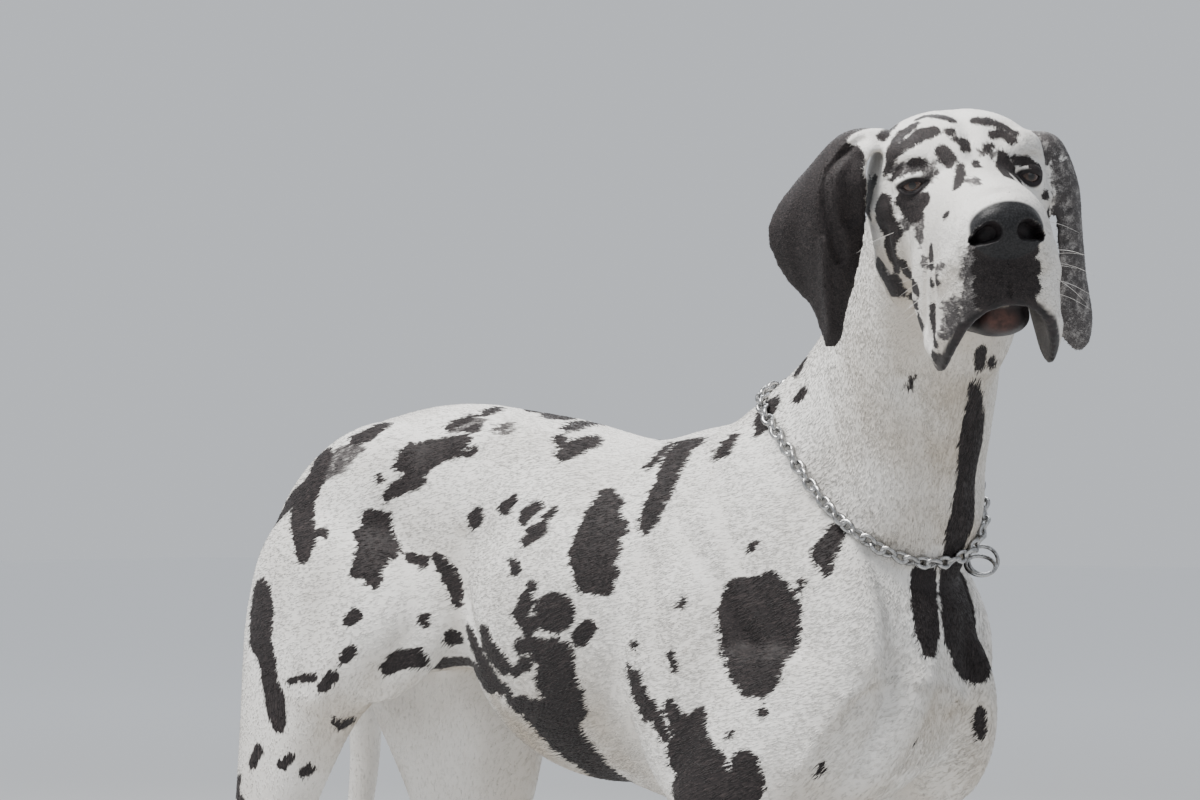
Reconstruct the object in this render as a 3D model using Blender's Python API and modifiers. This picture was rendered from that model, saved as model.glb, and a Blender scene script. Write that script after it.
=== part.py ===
"""A great dane standing square with its head turned to its right, life size.

Metres, +Z up. The body points its chest along +X and the dog's left side is +Y.
The floor is at Z = 0 and the origin is under the middle of the dog's bounding box.
"""

from math import cos, pi, radians, sin

import bmesh
import bpy
import numpy as np
from mathutils import Matrix, Vector
from mathutils.bvhtree import BVHTree

# Gap that touching solids keep
GAP = 0.0003

# The dog is modelled round its chest, then moved so that its box is centred on the origin
TO_ORIGIN = Vector((-0.032, 0.104, 0.0))

BODY_VOXEL = 0.005
HEAD_VOXEL = 0.0025
BODY_SMOOTHING = 14
HEAD_SMOOTHING = 6
PAW_SMOOTHING = 5
BODY_TRIANGLES = 4700
HEAD_TRIANGLES = 3900
RING_SIDES = 40

# Trunk stations, tail to chest: forward distance, top line, under line, half width, height of the widest point
TRUNK = (
    (-0.470, 0.725, 0.655, 0.034, 0.690),
    (-0.435, 0.778, 0.600, 0.070, 0.700),
    (-0.360, 0.832, 0.570, 0.096, 0.705),
    (-0.270, 0.856, 0.570, 0.094, 0.710),
    (-0.200, 0.860, 0.577, 0.086, 0.720),
    (-0.130, 0.851, 0.545, 0.088, 0.710),
    (-0.060, 0.839, 0.500, 0.106, 0.680),
    (0.040, 0.816, 0.462, 0.122, 0.640),
    (0.120, 0.829, 0.445, 0.118, 0.630),
    (0.200, 0.833, 0.440, 0.110, 0.630),
    (0.280, 0.790, 0.458, 0.104, 0.640),
    (0.340, 0.725, 0.500, 0.088, 0.620),
    (0.378, 0.660, 0.560, 0.048, 0.610),
)

# Neck stations, chest to poll: centre, half depth, half width, heading of the slice in degrees
NECK = (
    ((0.215, 0.000, 0.705), 0.150, 0.094, 0),
    ((0.286, -0.002, 0.780), 0.128, 0.089, -4),
    ((0.338, -0.022, 0.846), 0.106, 0.079, -14),
    ((0.384, -0.060, 0.908), 0.091, 0.074, -26),
    ((0.424, -0.104, 0.962), 0.083, 0.069, -38),
    ((0.455, -0.144, 1.004), 0.076, 0.064, -46),
    ((0.477, -0.172, 1.013), 0.070, 0.060, -48),
)

# Foreleg stations, down: height, front, rear, half width
FORELEG = (
    (0.610, 0.300, 0.190, 0.012),
    (0.545, 0.300, 0.160, 0.028),
    (0.475, 0.280, 0.146, 0.036),
    (0.420, 0.262, 0.160, 0.036),
    (0.350, 0.251, 0.174, 0.031),
    (0.270, 0.243, 0.187, 0.026),
    (0.205, 0.245, 0.187, 0.029),
    (0.170, 0.244, 0.184, 0.028),
    (0.125, 0.243, 0.195, 0.024),
    (0.075, 0.256, 0.202, 0.027),
    (0.045, 0.262, 0.204, 0.030),
)
FORELEG_APART = 0.118
FOREPAW_X = 0.250

# The dog stands with its left foreleg a little ahead of the right one
LEFT_FORELEG_STEP = 0.035
LEFT_SHOULDER_INSET = 0.008

# Hind leg stations, down: height, front, rear, distance from the middle, half width
RIGHT_HINDLEG = (
    (0.770, -0.300, -0.390, 0.056, 0.034),
    (0.710, -0.232, -0.434, 0.074, 0.050),
    (0.640, -0.204, -0.452, 0.081, 0.054),
    (0.580, -0.240, -0.454, 0.085, 0.052),
    (0.520, -0.308, -0.454, 0.087, 0.047),
    (0.460, -0.346, -0.455, 0.090, 0.042),
    (0.410, -0.370, -0.460, 0.092, 0.036),
    (0.360, -0.392, -0.474, 0.093, 0.030),
    (0.310, -0.418, -0.503, 0.094, 0.025),
    (0.275, -0.446, -0.536, 0.094, 0.024),
    (0.245, -0.478, -0.582, 0.094, 0.026),
    (0.215, -0.500, -0.592, 0.094, 0.028),
    (0.165, -0.522, -0.588, 0.094, 0.024),
    (0.110, -0.530, -0.584, 0.094, 0.022),
    (0.065, -0.528, -0.588, 0.095, 0.026),
    (0.045, -0.526, -0.590, 0.095, 0.028),
)
LEFT_HINDLEG = (
    (0.770, -0.290, -0.390, 0.056, 0.034),
    (0.710, -0.215, -0.434, 0.074, 0.050),
    (0.640, -0.185, -0.450, 0.081, 0.054),
    (0.580, -0.178, -0.444, 0.086, 0.052),
    (0.520, -0.182, -0.423, 0.089, 0.047),
    (0.460, -0.196, -0.390, 0.092, 0.042),
    (0.410, -0.213, -0.368, 0.094, 0.036),
    (0.360, -0.243, -0.364, 0.095, 0.030),
    (0.310, -0.290, -0.386, 0.096, 0.025),
    (0.275, -0.328, -0.414, 0.096, 0.024),
    (0.245, -0.356, -0.456, 0.096, 0.026),
    (0.215, -0.376, -0.464, 0.096, 0.028),
    (0.165, -0.392, -0.456, 0.096, 0.024),
    (0.110, -0.398, -0.450, 0.096, 0.022),
    (0.065, -0.396, -0.454, 0.097, 0.026),
    (0.045, -0.394, -0.456, 0.097, 0.028),
)
RIGHT_HINDPAW_X = -0.532
LEFT_HINDPAW_X = -0.400
HINDLEG_APART = 0.096

# Toe places in a paw: sideways from its middle, and how far back the toe starts
TOES = ((-0.0335, -0.013), (-0.0118, 0.0), (0.0118, 0.0), (0.0335, -0.013))

# Tail centre line and radius, root to tip
TAIL = (
    ((-0.405, 0.000, 0.772), 0.036),
    ((-0.456, 0.006, 0.730), 0.031),
    ((-0.482, 0.034, 0.668), 0.027),
    ((-0.476, 0.080, 0.600), 0.024),
    ((-0.464, 0.110, 0.520), 0.021),
    ((-0.470, 0.114, 0.420), 0.017),
    ((-0.490, 0.110, 0.330), 0.013),
    ((-0.518, 0.104, 0.262), 0.007),
)

# Head frame: midpoint between the eyes, then turn, nose-down pitch and roll in degrees
HEAD_AT = Vector((0.545, -0.257, 1.018))
HEAD_TURN = -50
HEAD_PITCH = 12
HEAD_ROLL = 4.7

# Skull stations in the head frame, poll to stop: forward, top, bottom, half width, height of the widest point
SKULL = (
    (-0.165, 0.026, -0.050, 0.046, -0.010),
    (-0.140, 0.044, -0.080, 0.064, -0.012),
    (-0.105, 0.053, -0.105, 0.074, -0.016),
    (-0.070, 0.055, -0.112, 0.077, -0.020),
    (-0.035, 0.053, -0.108, 0.072, -0.022),
    (-0.012, 0.044, -0.100, 0.063, -0.026),
    (0.010, 0.024, -0.095, 0.050, -0.040),
)

# Muzzle stations in the head frame, stop to nose: forward, top, bottom, half width, height of the widest point
MUZZLE = (
    (-0.030, 0.028, -0.095, 0.056, -0.050),
    (0.010, 0.016, -0.098, 0.050, -0.058),
    (0.050, 0.010, -0.098, 0.048, -0.062),
    (0.090, 0.007, -0.095, 0.047, -0.060),
    (0.120, 0.003, -0.088, 0.042, -0.055),
    (0.138, -0.008, -0.078, 0.034, -0.048),
    (0.146, -0.020, -0.066, 0.022, -0.045),
)

# Lower jaw stations in the head frame, throat to chin: forward, top, bottom, half width, height of the widest point
JAW = (
    (-0.100, -0.050, -0.118, 0.054, -0.080),
    (-0.050, -0.060, -0.126, 0.046, -0.095),
    (0.000, -0.080, -0.126, 0.034, -0.105),
    (0.060, -0.085, -0.122, 0.027, -0.104),
    (0.100, -0.085, -0.118, 0.024, -0.102),
    (0.120, -0.088, -0.110, 0.016, -0.100),
)

# Hanging upper lip, front to corner of the mouth: forward, sideways, height of its rim, thickness
LIP = (
    (0.140, 0.000, -0.088, 0.014),
    (0.138, 0.018, -0.093, 0.014),
    (0.126, 0.033, -0.108, 0.014),
    (0.102, 0.042, -0.132, 0.013),
    (0.072, 0.045, -0.150, 0.012),
    (0.042, 0.046, -0.147, 0.012),
    (0.014, 0.047, -0.128, 0.013),
    (-0.014, 0.048, -0.108, 0.016),
)
LIP_ROOT = -0.050

EYE_AT = Vector((-0.0105, 0.0460, 0.000))
EYE_RADIUS = 0.0125
EYE_TURN = 20
LID_THICKNESS = 0.0034
LID_OPENING = (0.0265, 0.0125)

NOSTRIL_AT = Vector((0.150, 0.0165, -0.028))

# Ear rows in the head frame, root to tip, each from the front edge to the back edge.
# The right ear is blown out sideways with a rolled front edge, and the left one hangs by the cheek.
EAR_ROWS = {
    "right": (
        ((-0.045, -0.058, 0.026), (-0.062, -0.058, 0.036), (-0.085, -0.058, 0.036), (-0.110, -0.058, 0.024)),
        ((-0.038, -0.078, 0.022), (-0.052, -0.088, 0.036), (-0.080, -0.094, 0.036), (-0.112, -0.088, 0.026)),
        ((-0.044, -0.088, -0.006), (-0.036, -0.102, 0.004), (-0.066, -0.122, 0.008), (-0.106, -0.126, 0.002)),
        ((-0.056, -0.098, -0.040), (-0.042, -0.110, -0.034), (-0.062, -0.134, -0.030), (-0.098, -0.160, -0.038)),
        ((-0.062, -0.101, -0.078), (-0.050, -0.112, -0.078), (-0.066, -0.128, -0.080), (-0.094, -0.150, -0.076)),
        ((-0.064, -0.106, -0.108), (-0.056, -0.113, -0.110), (-0.066, -0.120, -0.110), (-0.084, -0.128, -0.104)),
        ((-0.064, -0.113, -0.130), (-0.060, -0.116, -0.139), (-0.064, -0.120, -0.141), (-0.068, -0.122, -0.133)),
    ),
    "left": (
        ((-0.045, 0.058, 0.022), (-0.062, 0.058, 0.032), (-0.085, 0.058, 0.032), (-0.110, 0.058, 0.020)),
        ((-0.042, 0.075, 0.018), (-0.055, 0.085, 0.026), (-0.080, 0.090, 0.024), (-0.108, 0.086, 0.016)),
        ((-0.040, 0.079, -0.015), (-0.052, 0.096, -0.010), (-0.080, 0.107, -0.014), (-0.112, 0.100, -0.020)),
        ((-0.040, 0.081, -0.055), (-0.052, 0.099, -0.052), (-0.080, 0.109, -0.052), (-0.114, 0.102, -0.055)),
        ((-0.042, 0.081, -0.095), (-0.056, 0.101, -0.094), (-0.080, 0.111, -0.094), (-0.110, 0.106, -0.092)),
        ((-0.046, 0.080, -0.130), (-0.060, 0.103, -0.134), (-0.082, 0.116, -0.134), (-0.104, 0.112, -0.126)),
        ((-0.056, 0.084, -0.150), (-0.066, 0.098, -0.163), (-0.080, 0.112, -0.160), (-0.092, 0.113, -0.146)),
    ),
}
EAR_THICKNESS = 0.0050

# Steel chain collar, round the foot of the neck
CHAIN_AT = Vector((0.300, -0.002, 0.805))
CHAIN_FACING = Vector((0.70, -0.40, 0.58))
LINK_PITCH = 0.0122
LINK_LENGTH = 0.0180
LINK_WIDTH = 0.0125
LINK_WIRE = 0.0019
LINK_TILT = 28

# How far the collar hangs below that plane at the nape
CHAIN_SAG = 0.045

# The two rings of the collar, at its front: centre and the way each faces
COLLAR_RINGS = (
    (Vector((0.402, 0.024, 0.697)), Vector((0.38, -0.50, 0.75))),
    (Vector((0.398, 0.004, 0.702)), Vector((0.30, 0.90, 0.25))),
)
COLLAR_RING_RADIUS = 0.0140
COLLAR_RING_WIRE = 0.0019


def catmull_rom(rows, per_step):
    """Rows of numbers, filled in with a smooth curve that passes through each of them."""
    rows = np.array(rows, float)
    padded = np.vstack([2 * rows[0] - rows[1], rows, 2 * rows[-1] - rows[-2]])
    filled = []
    for a, b, c, d in zip(padded, padded[1:], padded[2:], padded[3:]):
        for t in np.arange(per_step) / per_step:
            filled.append(
                0.5 * (2 * b + (c - a) * t + (2 * a - 5 * b + 4 * c - d) * t**2 + (3 * b - a - 3 * c + d) * t**3)
            )
    return filled + [rows[-1]]


def signed_power(value, exponent):
    return abs(value) ** exponent * (1 if value >= 0 else -1)


def ring(bm, centre, side, up, half_width, rise, drop, squareness, sides=RING_SIDES):
    """One closed loop of vertices: an oval that can be squarer, and can rise and drop unequally."""
    verts = []
    for i in range(sides):
        angle = 2 * pi * i / sides
        across = signed_power(cos(angle), 2 / squareness) * half_width
        along = signed_power(sin(angle), 2 / squareness) * (rise if sin(angle) > 0 else drop)
        verts.append(bm.verts.new(centre + side * across + up * along))
    return verts


def loft(bm, rings):
    """A closed solid through the rings."""
    sides = len(rings[0])
    for near, far in zip(rings, rings[1:]):
        for i in range(sides):
            j = (i + 1) % sides
            bm.faces.new((near[i], near[j], far[j], far[i]))
    bm.faces.new(rings[0][::-1])
    bm.faces.new(rings[-1])


def slices_along(bm, stations, squareness, frame=None):
    """A loft with upright slices: forward, top, bottom, half width and height of the widest point."""
    frame = frame or Matrix.Identity(4)
    turn = frame.to_3x3()
    rings = []
    for x, top, bottom, half_width, widest in catmull_rom(stations, 4):
        centre = frame @ Vector((x, 0, widest))
        rings.append(
            ring(bm, centre, turn @ Vector((0, 1, 0)), turn @ Vector((0, 0, 1)),
                 half_width, top - widest, widest - bottom, squareness)
        )
    loft(bm, rings)


def slices_down(bm, stations, side, squareness):
    """A loft with level slices: height, front, rear, distance from the middle and half width."""
    rings = []
    for z, front, rear, y, half_width in catmull_rom(stations, 4):
        centre = Vector(((front + rear) / 2, y * side, z))
        half_depth = (front - rear) / 2
        rings.append(ring(bm, centre, Vector((1, 0, 0)), Vector((0, 1, 0)),
                          half_depth, half_width, half_width, squareness))
    loft(bm, rings)


def ellipsoid(bm, centre, radii, turn=None, segments=36):
    """A ball stretched to three radii, about its own turned axes."""
    frame = Matrix.Translation(centre) @ (turn or Matrix.Identity(4)) @ Matrix.Diagonal((*radii, 1))
    bmesh.ops.create_uvsphere(bm, u_segments=segments, v_segments=segments * 5 // 8, radius=1, matrix=frame)


def muscle(bm, start, end, wide, thick, outward):
    """An ellipsoid from one attachment to the other, thin along the outward direction."""
    start, end = Vector(start), Vector(end)
    along = (end - start).normalized()
    across = outward.cross(along).normalized()
    out = along.cross(across)
    turn = Matrix((across, out, along)).transposed().to_4x4()
    ellipsoid(bm, (start + end) / 2, (wide, thick, (end - start).length / 2), turn)


def tube(bm, points, sides):
    """A tapering round form along a smooth centre line of points and radii."""
    filled = catmull_rom([(*point, radius) for point, radius in points], 4)
    rings = []
    side = Vector((1, 0, 0))
    for i, (x, y, z, radius) in enumerate(filled):
        before, after = filled[max(i - 1, 0)], filled[min(i + 1, len(filled) - 1)]
        tangent = Vector(after[:3] - before[:3]).normalized()
        side = (side - tangent * side.dot(tangent)).normalized()
        rings.append(ring(bm, Vector((x, y, z)), side, tangent.cross(side), radius, radius, radius, 2, sides))
    loft(bm, rings)


def head_frame():
    turn = Matrix.Rotation(radians(HEAD_TURN), 4, "Z")
    pitch = Matrix.Rotation(radians(HEAD_PITCH), 4, "Y")
    roll = Matrix.Rotation(radians(HEAD_ROLL), 4, "X")
    return Matrix.Translation(HEAD_AT) @ turn @ pitch @ roll


def trunk_forms(bm):
    slices_along(bm, TRUNK, 2.2)
    ellipsoid(bm, Vector((0.005, 0, 0.640)), (0.195, 0.137, 0.172), Matrix.Rotation(radians(-8), 4, "Y"))
    ellipsoid(bm, Vector((0.312, -0.003, 0.590)), (0.066, 0.092, 0.100))
    for side in (-1, 1):
        outward = Vector((0, side, 0))
        step = LEFT_FORELEG_STEP if side > 0 else 0
        point = 0.104 - (LEFT_SHOULDER_INSET if side > 0 else 0)
        # Shoulder blade, upper arm and the breast muscles that cross it
        muscle(bm, (0.130, 0.050 * side, 0.812), (0.348 + step / 4, point * side, 0.575), 0.080, 0.034, outward)
        muscle(bm, (0.100, 0.086 * side, 0.745), (0.190 + step, 0.118 * side, 0.440), 0.074, 0.038, outward)
        muscle(bm, (0.338 + step / 4, (point - 0.014) * side, 0.635), (0.205 + step, 0.116 * side, 0.435),
               0.060, 0.038, outward)
        muscle(bm, (0.362, 0.030 * side, 0.640), (0.268 + step, (point - 0.004) * side, 0.455), 0.060, 0.028, outward)
        # Rump, and the fold of the flank
        muscle(bm, (-0.225, 0.060 * side, 0.820), (-0.425, 0.062 * side, 0.650), 0.085, 0.048, outward)
        muscle(bm, (-0.165, 0.050 * side, 0.740), (-0.290, 0.088 * side, 0.545), 0.060, 0.028, outward)


def neck_forms(bm):
    rings = []
    filled = catmull_rom([(*centre, depth, width, heading) for centre, depth, width, heading in NECK], 5)
    for i, (x, y, z, depth, width, heading) in enumerate(filled):
        before, after = filled[max(i - 1, 0)], filled[min(i + 1, len(filled) - 1)]
        tangent = Vector(after[:3] - before[:3]).normalized()
        forward = Vector((cos(radians(heading)), sin(radians(heading)), 0))
        side = tangent.cross(forward).normalized()
        rings.append(ring(bm, Vector((x, y, z)), side, side.cross(tangent), width, depth, depth, 2.1))
    loft(bm, rings)


def paw_places():
    return {
        "forepaw_right": Vector((FOREPAW_X, -FORELEG_APART, 0)),
        "forepaw_left": Vector((FOREPAW_X + LEFT_FORELEG_STEP, FORELEG_APART, 0)),
        "hindpaw_right": Vector((RIGHT_HINDPAW_X, -HINDLEG_APART, 0)),
        "hindpaw_left": Vector((LEFT_HINDPAW_X, HINDLEG_APART, 0)),
    }


def leg_forms(bm):
    for side, step in ((-1, 0), (1, LEFT_FORELEG_STEP)):
        stations = [(z, front + step, rear + step, FORELEG_APART, width) for z, front, rear, width in FORELEG]
        slices_down(bm, stations, side, 2.2)
    slices_down(bm, RIGHT_HINDLEG, -1, 2.2)
    slices_down(bm, LEFT_HINDLEG, 1, 2.2)


def paw_forms(bm, at):
    """Wrist of the paw, the big pad, and four arched toes with their pads."""
    ellipsoid(bm, at + Vector((-0.012, 0, 0.044)), (0.040, 0.034, 0.030))
    ellipsoid(bm, at + Vector((-0.014, 0, 0.006)), (0.030, 0.032, 0.014))
    for sideways, back in TOES:
        spread = Matrix.Rotation(sideways * 5, 4, "Z")
        toe = at + Vector((back, sideways, 0))
        ellipsoid(bm, toe + Vector((0.014, 0, 0.034)), (0.038, 0.0140, 0.024),
                  spread @ Matrix.Rotation(radians(24), 4, "Y"))
        ellipsoid(bm, toe + Vector((0.042, 0, 0.017)), (0.022, 0.0135, 0.018), spread)
        ellipsoid(bm, toe + Vector((0.032, 0, 0.002)), (0.020, 0.0125, 0.010), spread)


def head_forms(bm):
    frame = head_frame()
    turn = frame.to_3x3().to_4x4()
    slices_along(bm, SKULL, 2.4, frame)
    slices_along(bm, MUZZLE, 2.5, frame)
    slices_along(bm, JAW, 2.2, frame)

    def lump(centre, radii, local=None):
        ellipsoid(bm, frame @ Vector(centre), radii, turn @ (local or Matrix.Identity(4)))

    # Nose leather
    lump((0.133, 0, -0.023), (0.024, 0.0285, 0.025))
    for side in (-1, 1):
        lump((0.136, 0.012 * side, -0.028), (0.019, 0.0165, 0.020))
        # Brow, cheekbone, jaw muscle and the lids round the eye
        lump((-0.030, 0.040 * side, 0.022), (0.034, 0.026, 0.018), Matrix.Rotation(radians(-20 * side), 4, "Z"))
        lump((-0.052, 0.058 * side, -0.024), (0.056, 0.018, 0.018), Matrix.Rotation(radians(-13 * side), 4, "Z"))
        lump((-0.082, 0.048 * side, -0.060), (0.050, 0.023, 0.056))
        lid = EYE_RADIUS + LID_THICKNESS
        lump((EYE_AT.x, EYE_AT.y * side, EYE_AT.z), (lid, lid * 1.15, lid))
        lip_form(bm, frame, side)


def lip_form(bm, frame, side):
    """The upper lip as a thick curtain that hangs from the muzzle past the lower jaw."""
    turn = frame.to_3x3()
    filled = catmull_rom(LIP, 3)
    rings = []
    for i, (x, y, rim, thickness) in enumerate(filled):
        before, after = filled[max(i - 1, 0)], filled[min(i + 1, len(filled) - 1)]
        run = Vector((after[0] - before[0], after[1] - before[1], 0)).normalized()
        outward = Vector((run.y, -run.x, 0))
        outward.y *= side
        half_height = (LIP_ROOT - rim) / 2
        centre = frame @ Vector((x, y * side, rim + half_height))
        rings.append(ring(bm, centre, turn @ outward, turn @ Vector((0, 0, 1)),
                          thickness / 2, half_height, half_height, 2.6, 12))
    loft(bm, rings)


def solid_object(name, bm):
    mesh = bpy.data.meshes.new(name)
    bmesh.ops.recalc_face_normals(bm, faces=bm.faces)
    bm.to_mesh(mesh)
    bm.free()
    obj = bpy.data.objects.new(name, mesh)
    bpy.context.scene.collection.objects.link(obj)
    return obj


def baked(obj):
    """Replaces the object's mesh with what its modifiers make of it."""
    graph = bpy.context.evaluated_depsgraph_get()
    made = bpy.data.meshes.new_from_object(obj.evaluated_get(graph))
    old = obj.data
    obj.modifiers.clear()
    obj.data = made
    bpy.data.meshes.remove(old)
    return obj


def fused(obj, voxel):
    """The overlapping forms grown together into one skin."""
    remesh = obj.modifiers.new("grow_together", "REMESH")
    remesh.mode = "VOXEL"
    remesh.voxel_size = voxel
    return baked(obj)


def smoothed(obj, iterations, group=""):
    smooth = obj.modifiers.new("smooth", "SMOOTH")
    smooth.factor = 0.5
    smooth.iterations = iterations
    smooth.vertex_group = group
    return baked(obj)


def thinned(obj, triangles):
    """Fewer triangles, with the form kept."""
    obj.data.calc_loop_triangles()
    decimate = obj.modifiers.new("thin_out", "DECIMATE")
    decimate.ratio = min(1, triangles / len(obj.data.loop_triangles))
    decimate.use_collapse_triangulate = True
    return baked(obj)


def removed(*objects):
    for obj in objects:
        bpy.data.objects.remove(obj)


def copied(obj, name):
    twin = bpy.data.objects.new(name, obj.data.copy())
    bpy.context.scene.collection.objects.link(twin)
    return twin


def boolean(obj, cutter, operation, solver="EXACT"):
    """One Boolean, applied, that leaves the cutter for further use."""
    step = obj.modifiers.new("cut", "BOOLEAN")
    step.operation = operation
    step.solver = solver
    step.object = cutter
    return baked(obj)


def largest_surface(obj):
    """Keeps only the largest closed surface of the object."""
    bm = bmesh.new()
    bm.from_mesh(obj.data)
    groups = []
    unseen = set(bm.verts)
    while unseen:
        front = [unseen.pop()]
        group = list(front)
        while front:
            near = {edge.other_vert(vert) for vert in front for edge in vert.link_edges} & unseen
            unseen -= near
            group.extend(near)
            front = list(near)
        groups.append(group)
    groups.sort(key=len)
    for group in groups[:-1]:
        bmesh.ops.delete(bm, geom=group, context="VERTS")
    bm.to_mesh(obj.data)
    bm.free()
    return obj


def block(low, high):
    """A box between two corners, as a cutter."""
    low, high = Vector(low), Vector(high)
    bm = bmesh.new()
    size = high - low
    bmesh.ops.create_cube(bm, size=1, matrix=Matrix.Translation((low + high) / 2) @ Matrix.Diagonal((*size, 1)))
    return solid_object("cutter", bm)


def half_space(point, facing, reach=0.5):
    """A big block whose one face passes through the point and that lies on the side it faces."""
    turn = facing.to_track_quat("Z", "Y").to_matrix().to_4x4()
    bm = bmesh.new()
    frame = Matrix.Translation(point + facing.normalized() * reach / 2) @ turn
    bmesh.ops.create_cube(bm, size=reach, matrix=frame)
    return solid_object("cutter", bm)


def inflated(obj, distance):
    """A copy that is larger all round by the distance."""
    twin = copied(obj, "cutter")
    grow = twin.modifiers.new("grow", "DISPLACE")
    grow.mid_level = 0
    grow.strength = distance
    return baked(twin)


def split(obj, name, volume, volume_with_gap):
    """Parts the object in two: what is inside the volume gets the new name."""
    part = copied(obj, name)
    boolean(part, volume, "INTERSECT")
    boolean(obj, volume_with_gap, "DIFFERENCE")
    removed(volume, volume_with_gap)
    return largest_surface(part)


def split_plane(obj, name, point, facing):
    gap = facing.normalized() * GAP
    return split(obj, name, half_space(point, facing), half_space(point - gap, facing))


def split_block(obj, name, low, high):
    margin = Vector((GAP, GAP, GAP))
    return split(obj, name, block(low, high), block(Vector(low) - margin, Vector(high) + margin))


def body_skin():
    """The whole skin; its paws are smoothed less, so that the toes keep their shape."""
    bm = bmesh.new()
    trunk_forms(bm)
    neck_forms(bm)
    leg_forms(bm)
    for at in paw_places().values():
        paw_forms(bm, at)
    head_forms(bm)
    skin = fused(solid_object("body", bm), BODY_VOXEL)
    broad = skin.vertex_groups.new(name="broad")
    for vert in skin.data.vertices:
        broad.add([vert.index], min(1, max(0, vert.co.z / 0.06 - 1)), "REPLACE")
    smoothed(skin, PAW_SMOOTHING)
    return smoothed(skin, BODY_SMOOTHING, "broad")


def head_skin():
    bm = bmesh.new()
    neck_forms(bm)
    head_forms(bm)
    return smoothed(fused(solid_object("head", bm), HEAD_VOXEL), HEAD_SMOOTHING)


# Faces between neck and head in the head frame, and between torso and neck
NECK_TOP = (Vector((-0.135, 0.0, 0.020)), Vector((0.85, 0.0, 0.53)))
NECK_FOOT = (Vector((0.262, 0.0, 0.735)), Vector((0.68, 0.0, 0.73)))

# Heights where the legs are parted
ELBOW_TOP = 0.485
THIGH_TOP = 0.575
HOCK_TOP = 0.315
PAW_TOP = 0.066


def eyeball(name, side, radius):
    """A ball at the place of one eye, its pole on the line of sight."""
    frame = head_frame()
    gaze = Matrix.Rotation(radians(EYE_TURN * side), 4, "Z") @ Matrix.Rotation(pi / 2, 4, "Y")
    bm = bmesh.new()
    at = frame @ Vector((EYE_AT.x, EYE_AT.y * side, EYE_AT.z))
    ellipsoid(bm, at, (radius,) * 3, frame.to_3x3().to_4x4() @ gaze, 16)
    return solid_object(name, bm)


def eye_opening(side):
    """Cutter for one eye: the socket and the almond opening between the lids."""
    socket = eyeball("socket", side, EYE_RADIUS + GAP * 1.2)
    frame = head_frame()
    at = frame @ Vector((EYE_AT.x, EYE_AT.y * side, EYE_AT.z))
    turn = frame.to_3x3() @ Matrix.Rotation(radians(EYE_TURN * side), 3, "Z")
    width, height = LID_OPENING
    bm = bmesh.new()
    rings = []
    for depth in (0.004, 0.030):
        loop = []
        for i in range(14):
            angle = 2 * pi * i / 14
            across = cos(angle) * width / 2
            rise = sin(angle) * abs(sin(angle)) ** 0.5 * height / 2
            loop.append(bm.verts.new(at + turn @ Vector((depth, across, rise))))
        rings.append(loop)
    loft(bm, rings)
    opening = solid_object("opening", bm)
    boolean(opening, socket, "UNION")
    removed(socket)
    return opening


def head_parts(head):
    """Opens the eyes and nostrils in the head, and makes the eyes."""
    frame = head_frame()
    turn = frame.to_3x3().to_4x4()
    eyes = {}
    for name, side in (("right", -1), ("left", 1)):
        opening = eye_opening(side)
        boolean(head, opening, "DIFFERENCE")
        removed(opening)
        bm = bmesh.new()
        at = frame @ Vector((NOSTRIL_AT.x, NOSTRIL_AT.y * side, NOSTRIL_AT.z))
        ellipsoid(bm, at, (0.013, 0.0080, 0.0064), turn @ Matrix.Rotation(radians(-28 * side), 4, "X"), 16)
        nostril = solid_object("nostril", bm)
        boolean(head, nostril, "DIFFERENCE")
        removed(nostril)
        eyes[name] = eyeball("eye_" + name, side, EYE_RADIUS)
    largest_surface(head)
    return eyes


def ear(name, head):
    """A hanging ear: a leather laid through its rows of places, cut clear of the head."""
    frame = head_frame()
    rows = catmull_rom(np.array(EAR_ROWS[name]).reshape(len(EAR_ROWS[name]), -1), 2)
    bm = bmesh.new()
    grid = []
    for row in rows:
        places = catmull_rom(np.array(row).reshape(-1, 3), 2)
        grid.append([bm.verts.new(frame @ Vector(place)) for place in places])
    for near, far in zip(grid, grid[1:]):
        for j in range(len(near) - 1):
            bm.faces.new((near[j], near[j + 1], far[j + 1], far[j]))
    leather = solid_object("ear_" + name, bm)
    thick = leather.modifiers.new("thick", "SOLIDIFY")
    thick.thickness = EAR_THICKNESS
    thick.offset = 0
    thick.use_even_offset = True
    baked(leather)
    near_head = inflated(head, GAP)
    boolean(leather, near_head, "DIFFERENCE")
    removed(near_head)
    return largest_surface(leather)


def tail(torso, thighs):
    bm = bmesh.new()
    tube(bm, TAIL, 10)
    made = solid_object("tail", bm)
    for neighbour in (torso, *thighs):
        near = inflated(neighbour, GAP)
        boolean(made, near, "DIFFERENCE")
        removed(near)
    return largest_surface(made)


def claws(paw, at):
    """Four blunt claws, grown into the toes."""
    for sideways, back in TOES:
        spread = Matrix.Rotation(sideways * 5, 4, "Z").to_3x3()
        root = at + Vector((back, sideways, 0))
        points = [((0.050, 0, 0.017), 0.0046), ((0.060, 0, 0.015), 0.0042), ((0.068, 0, 0.008), 0.0022)]
        bm = bmesh.new()
        rings = []
        for place, radius in points:
            rings.append(ring(bm, root + spread @ Vector(place), spread @ Vector((0, 1, 0)),
                              Vector((0, 0, 1)), radius * 0.8, radius, radius, 2, 5))
        loft(bm, rings)
        claw = solid_object("claw", bm)
        boolean(paw, claw, "UNION")
        removed(claw)
    return largest_surface(paw)


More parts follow.
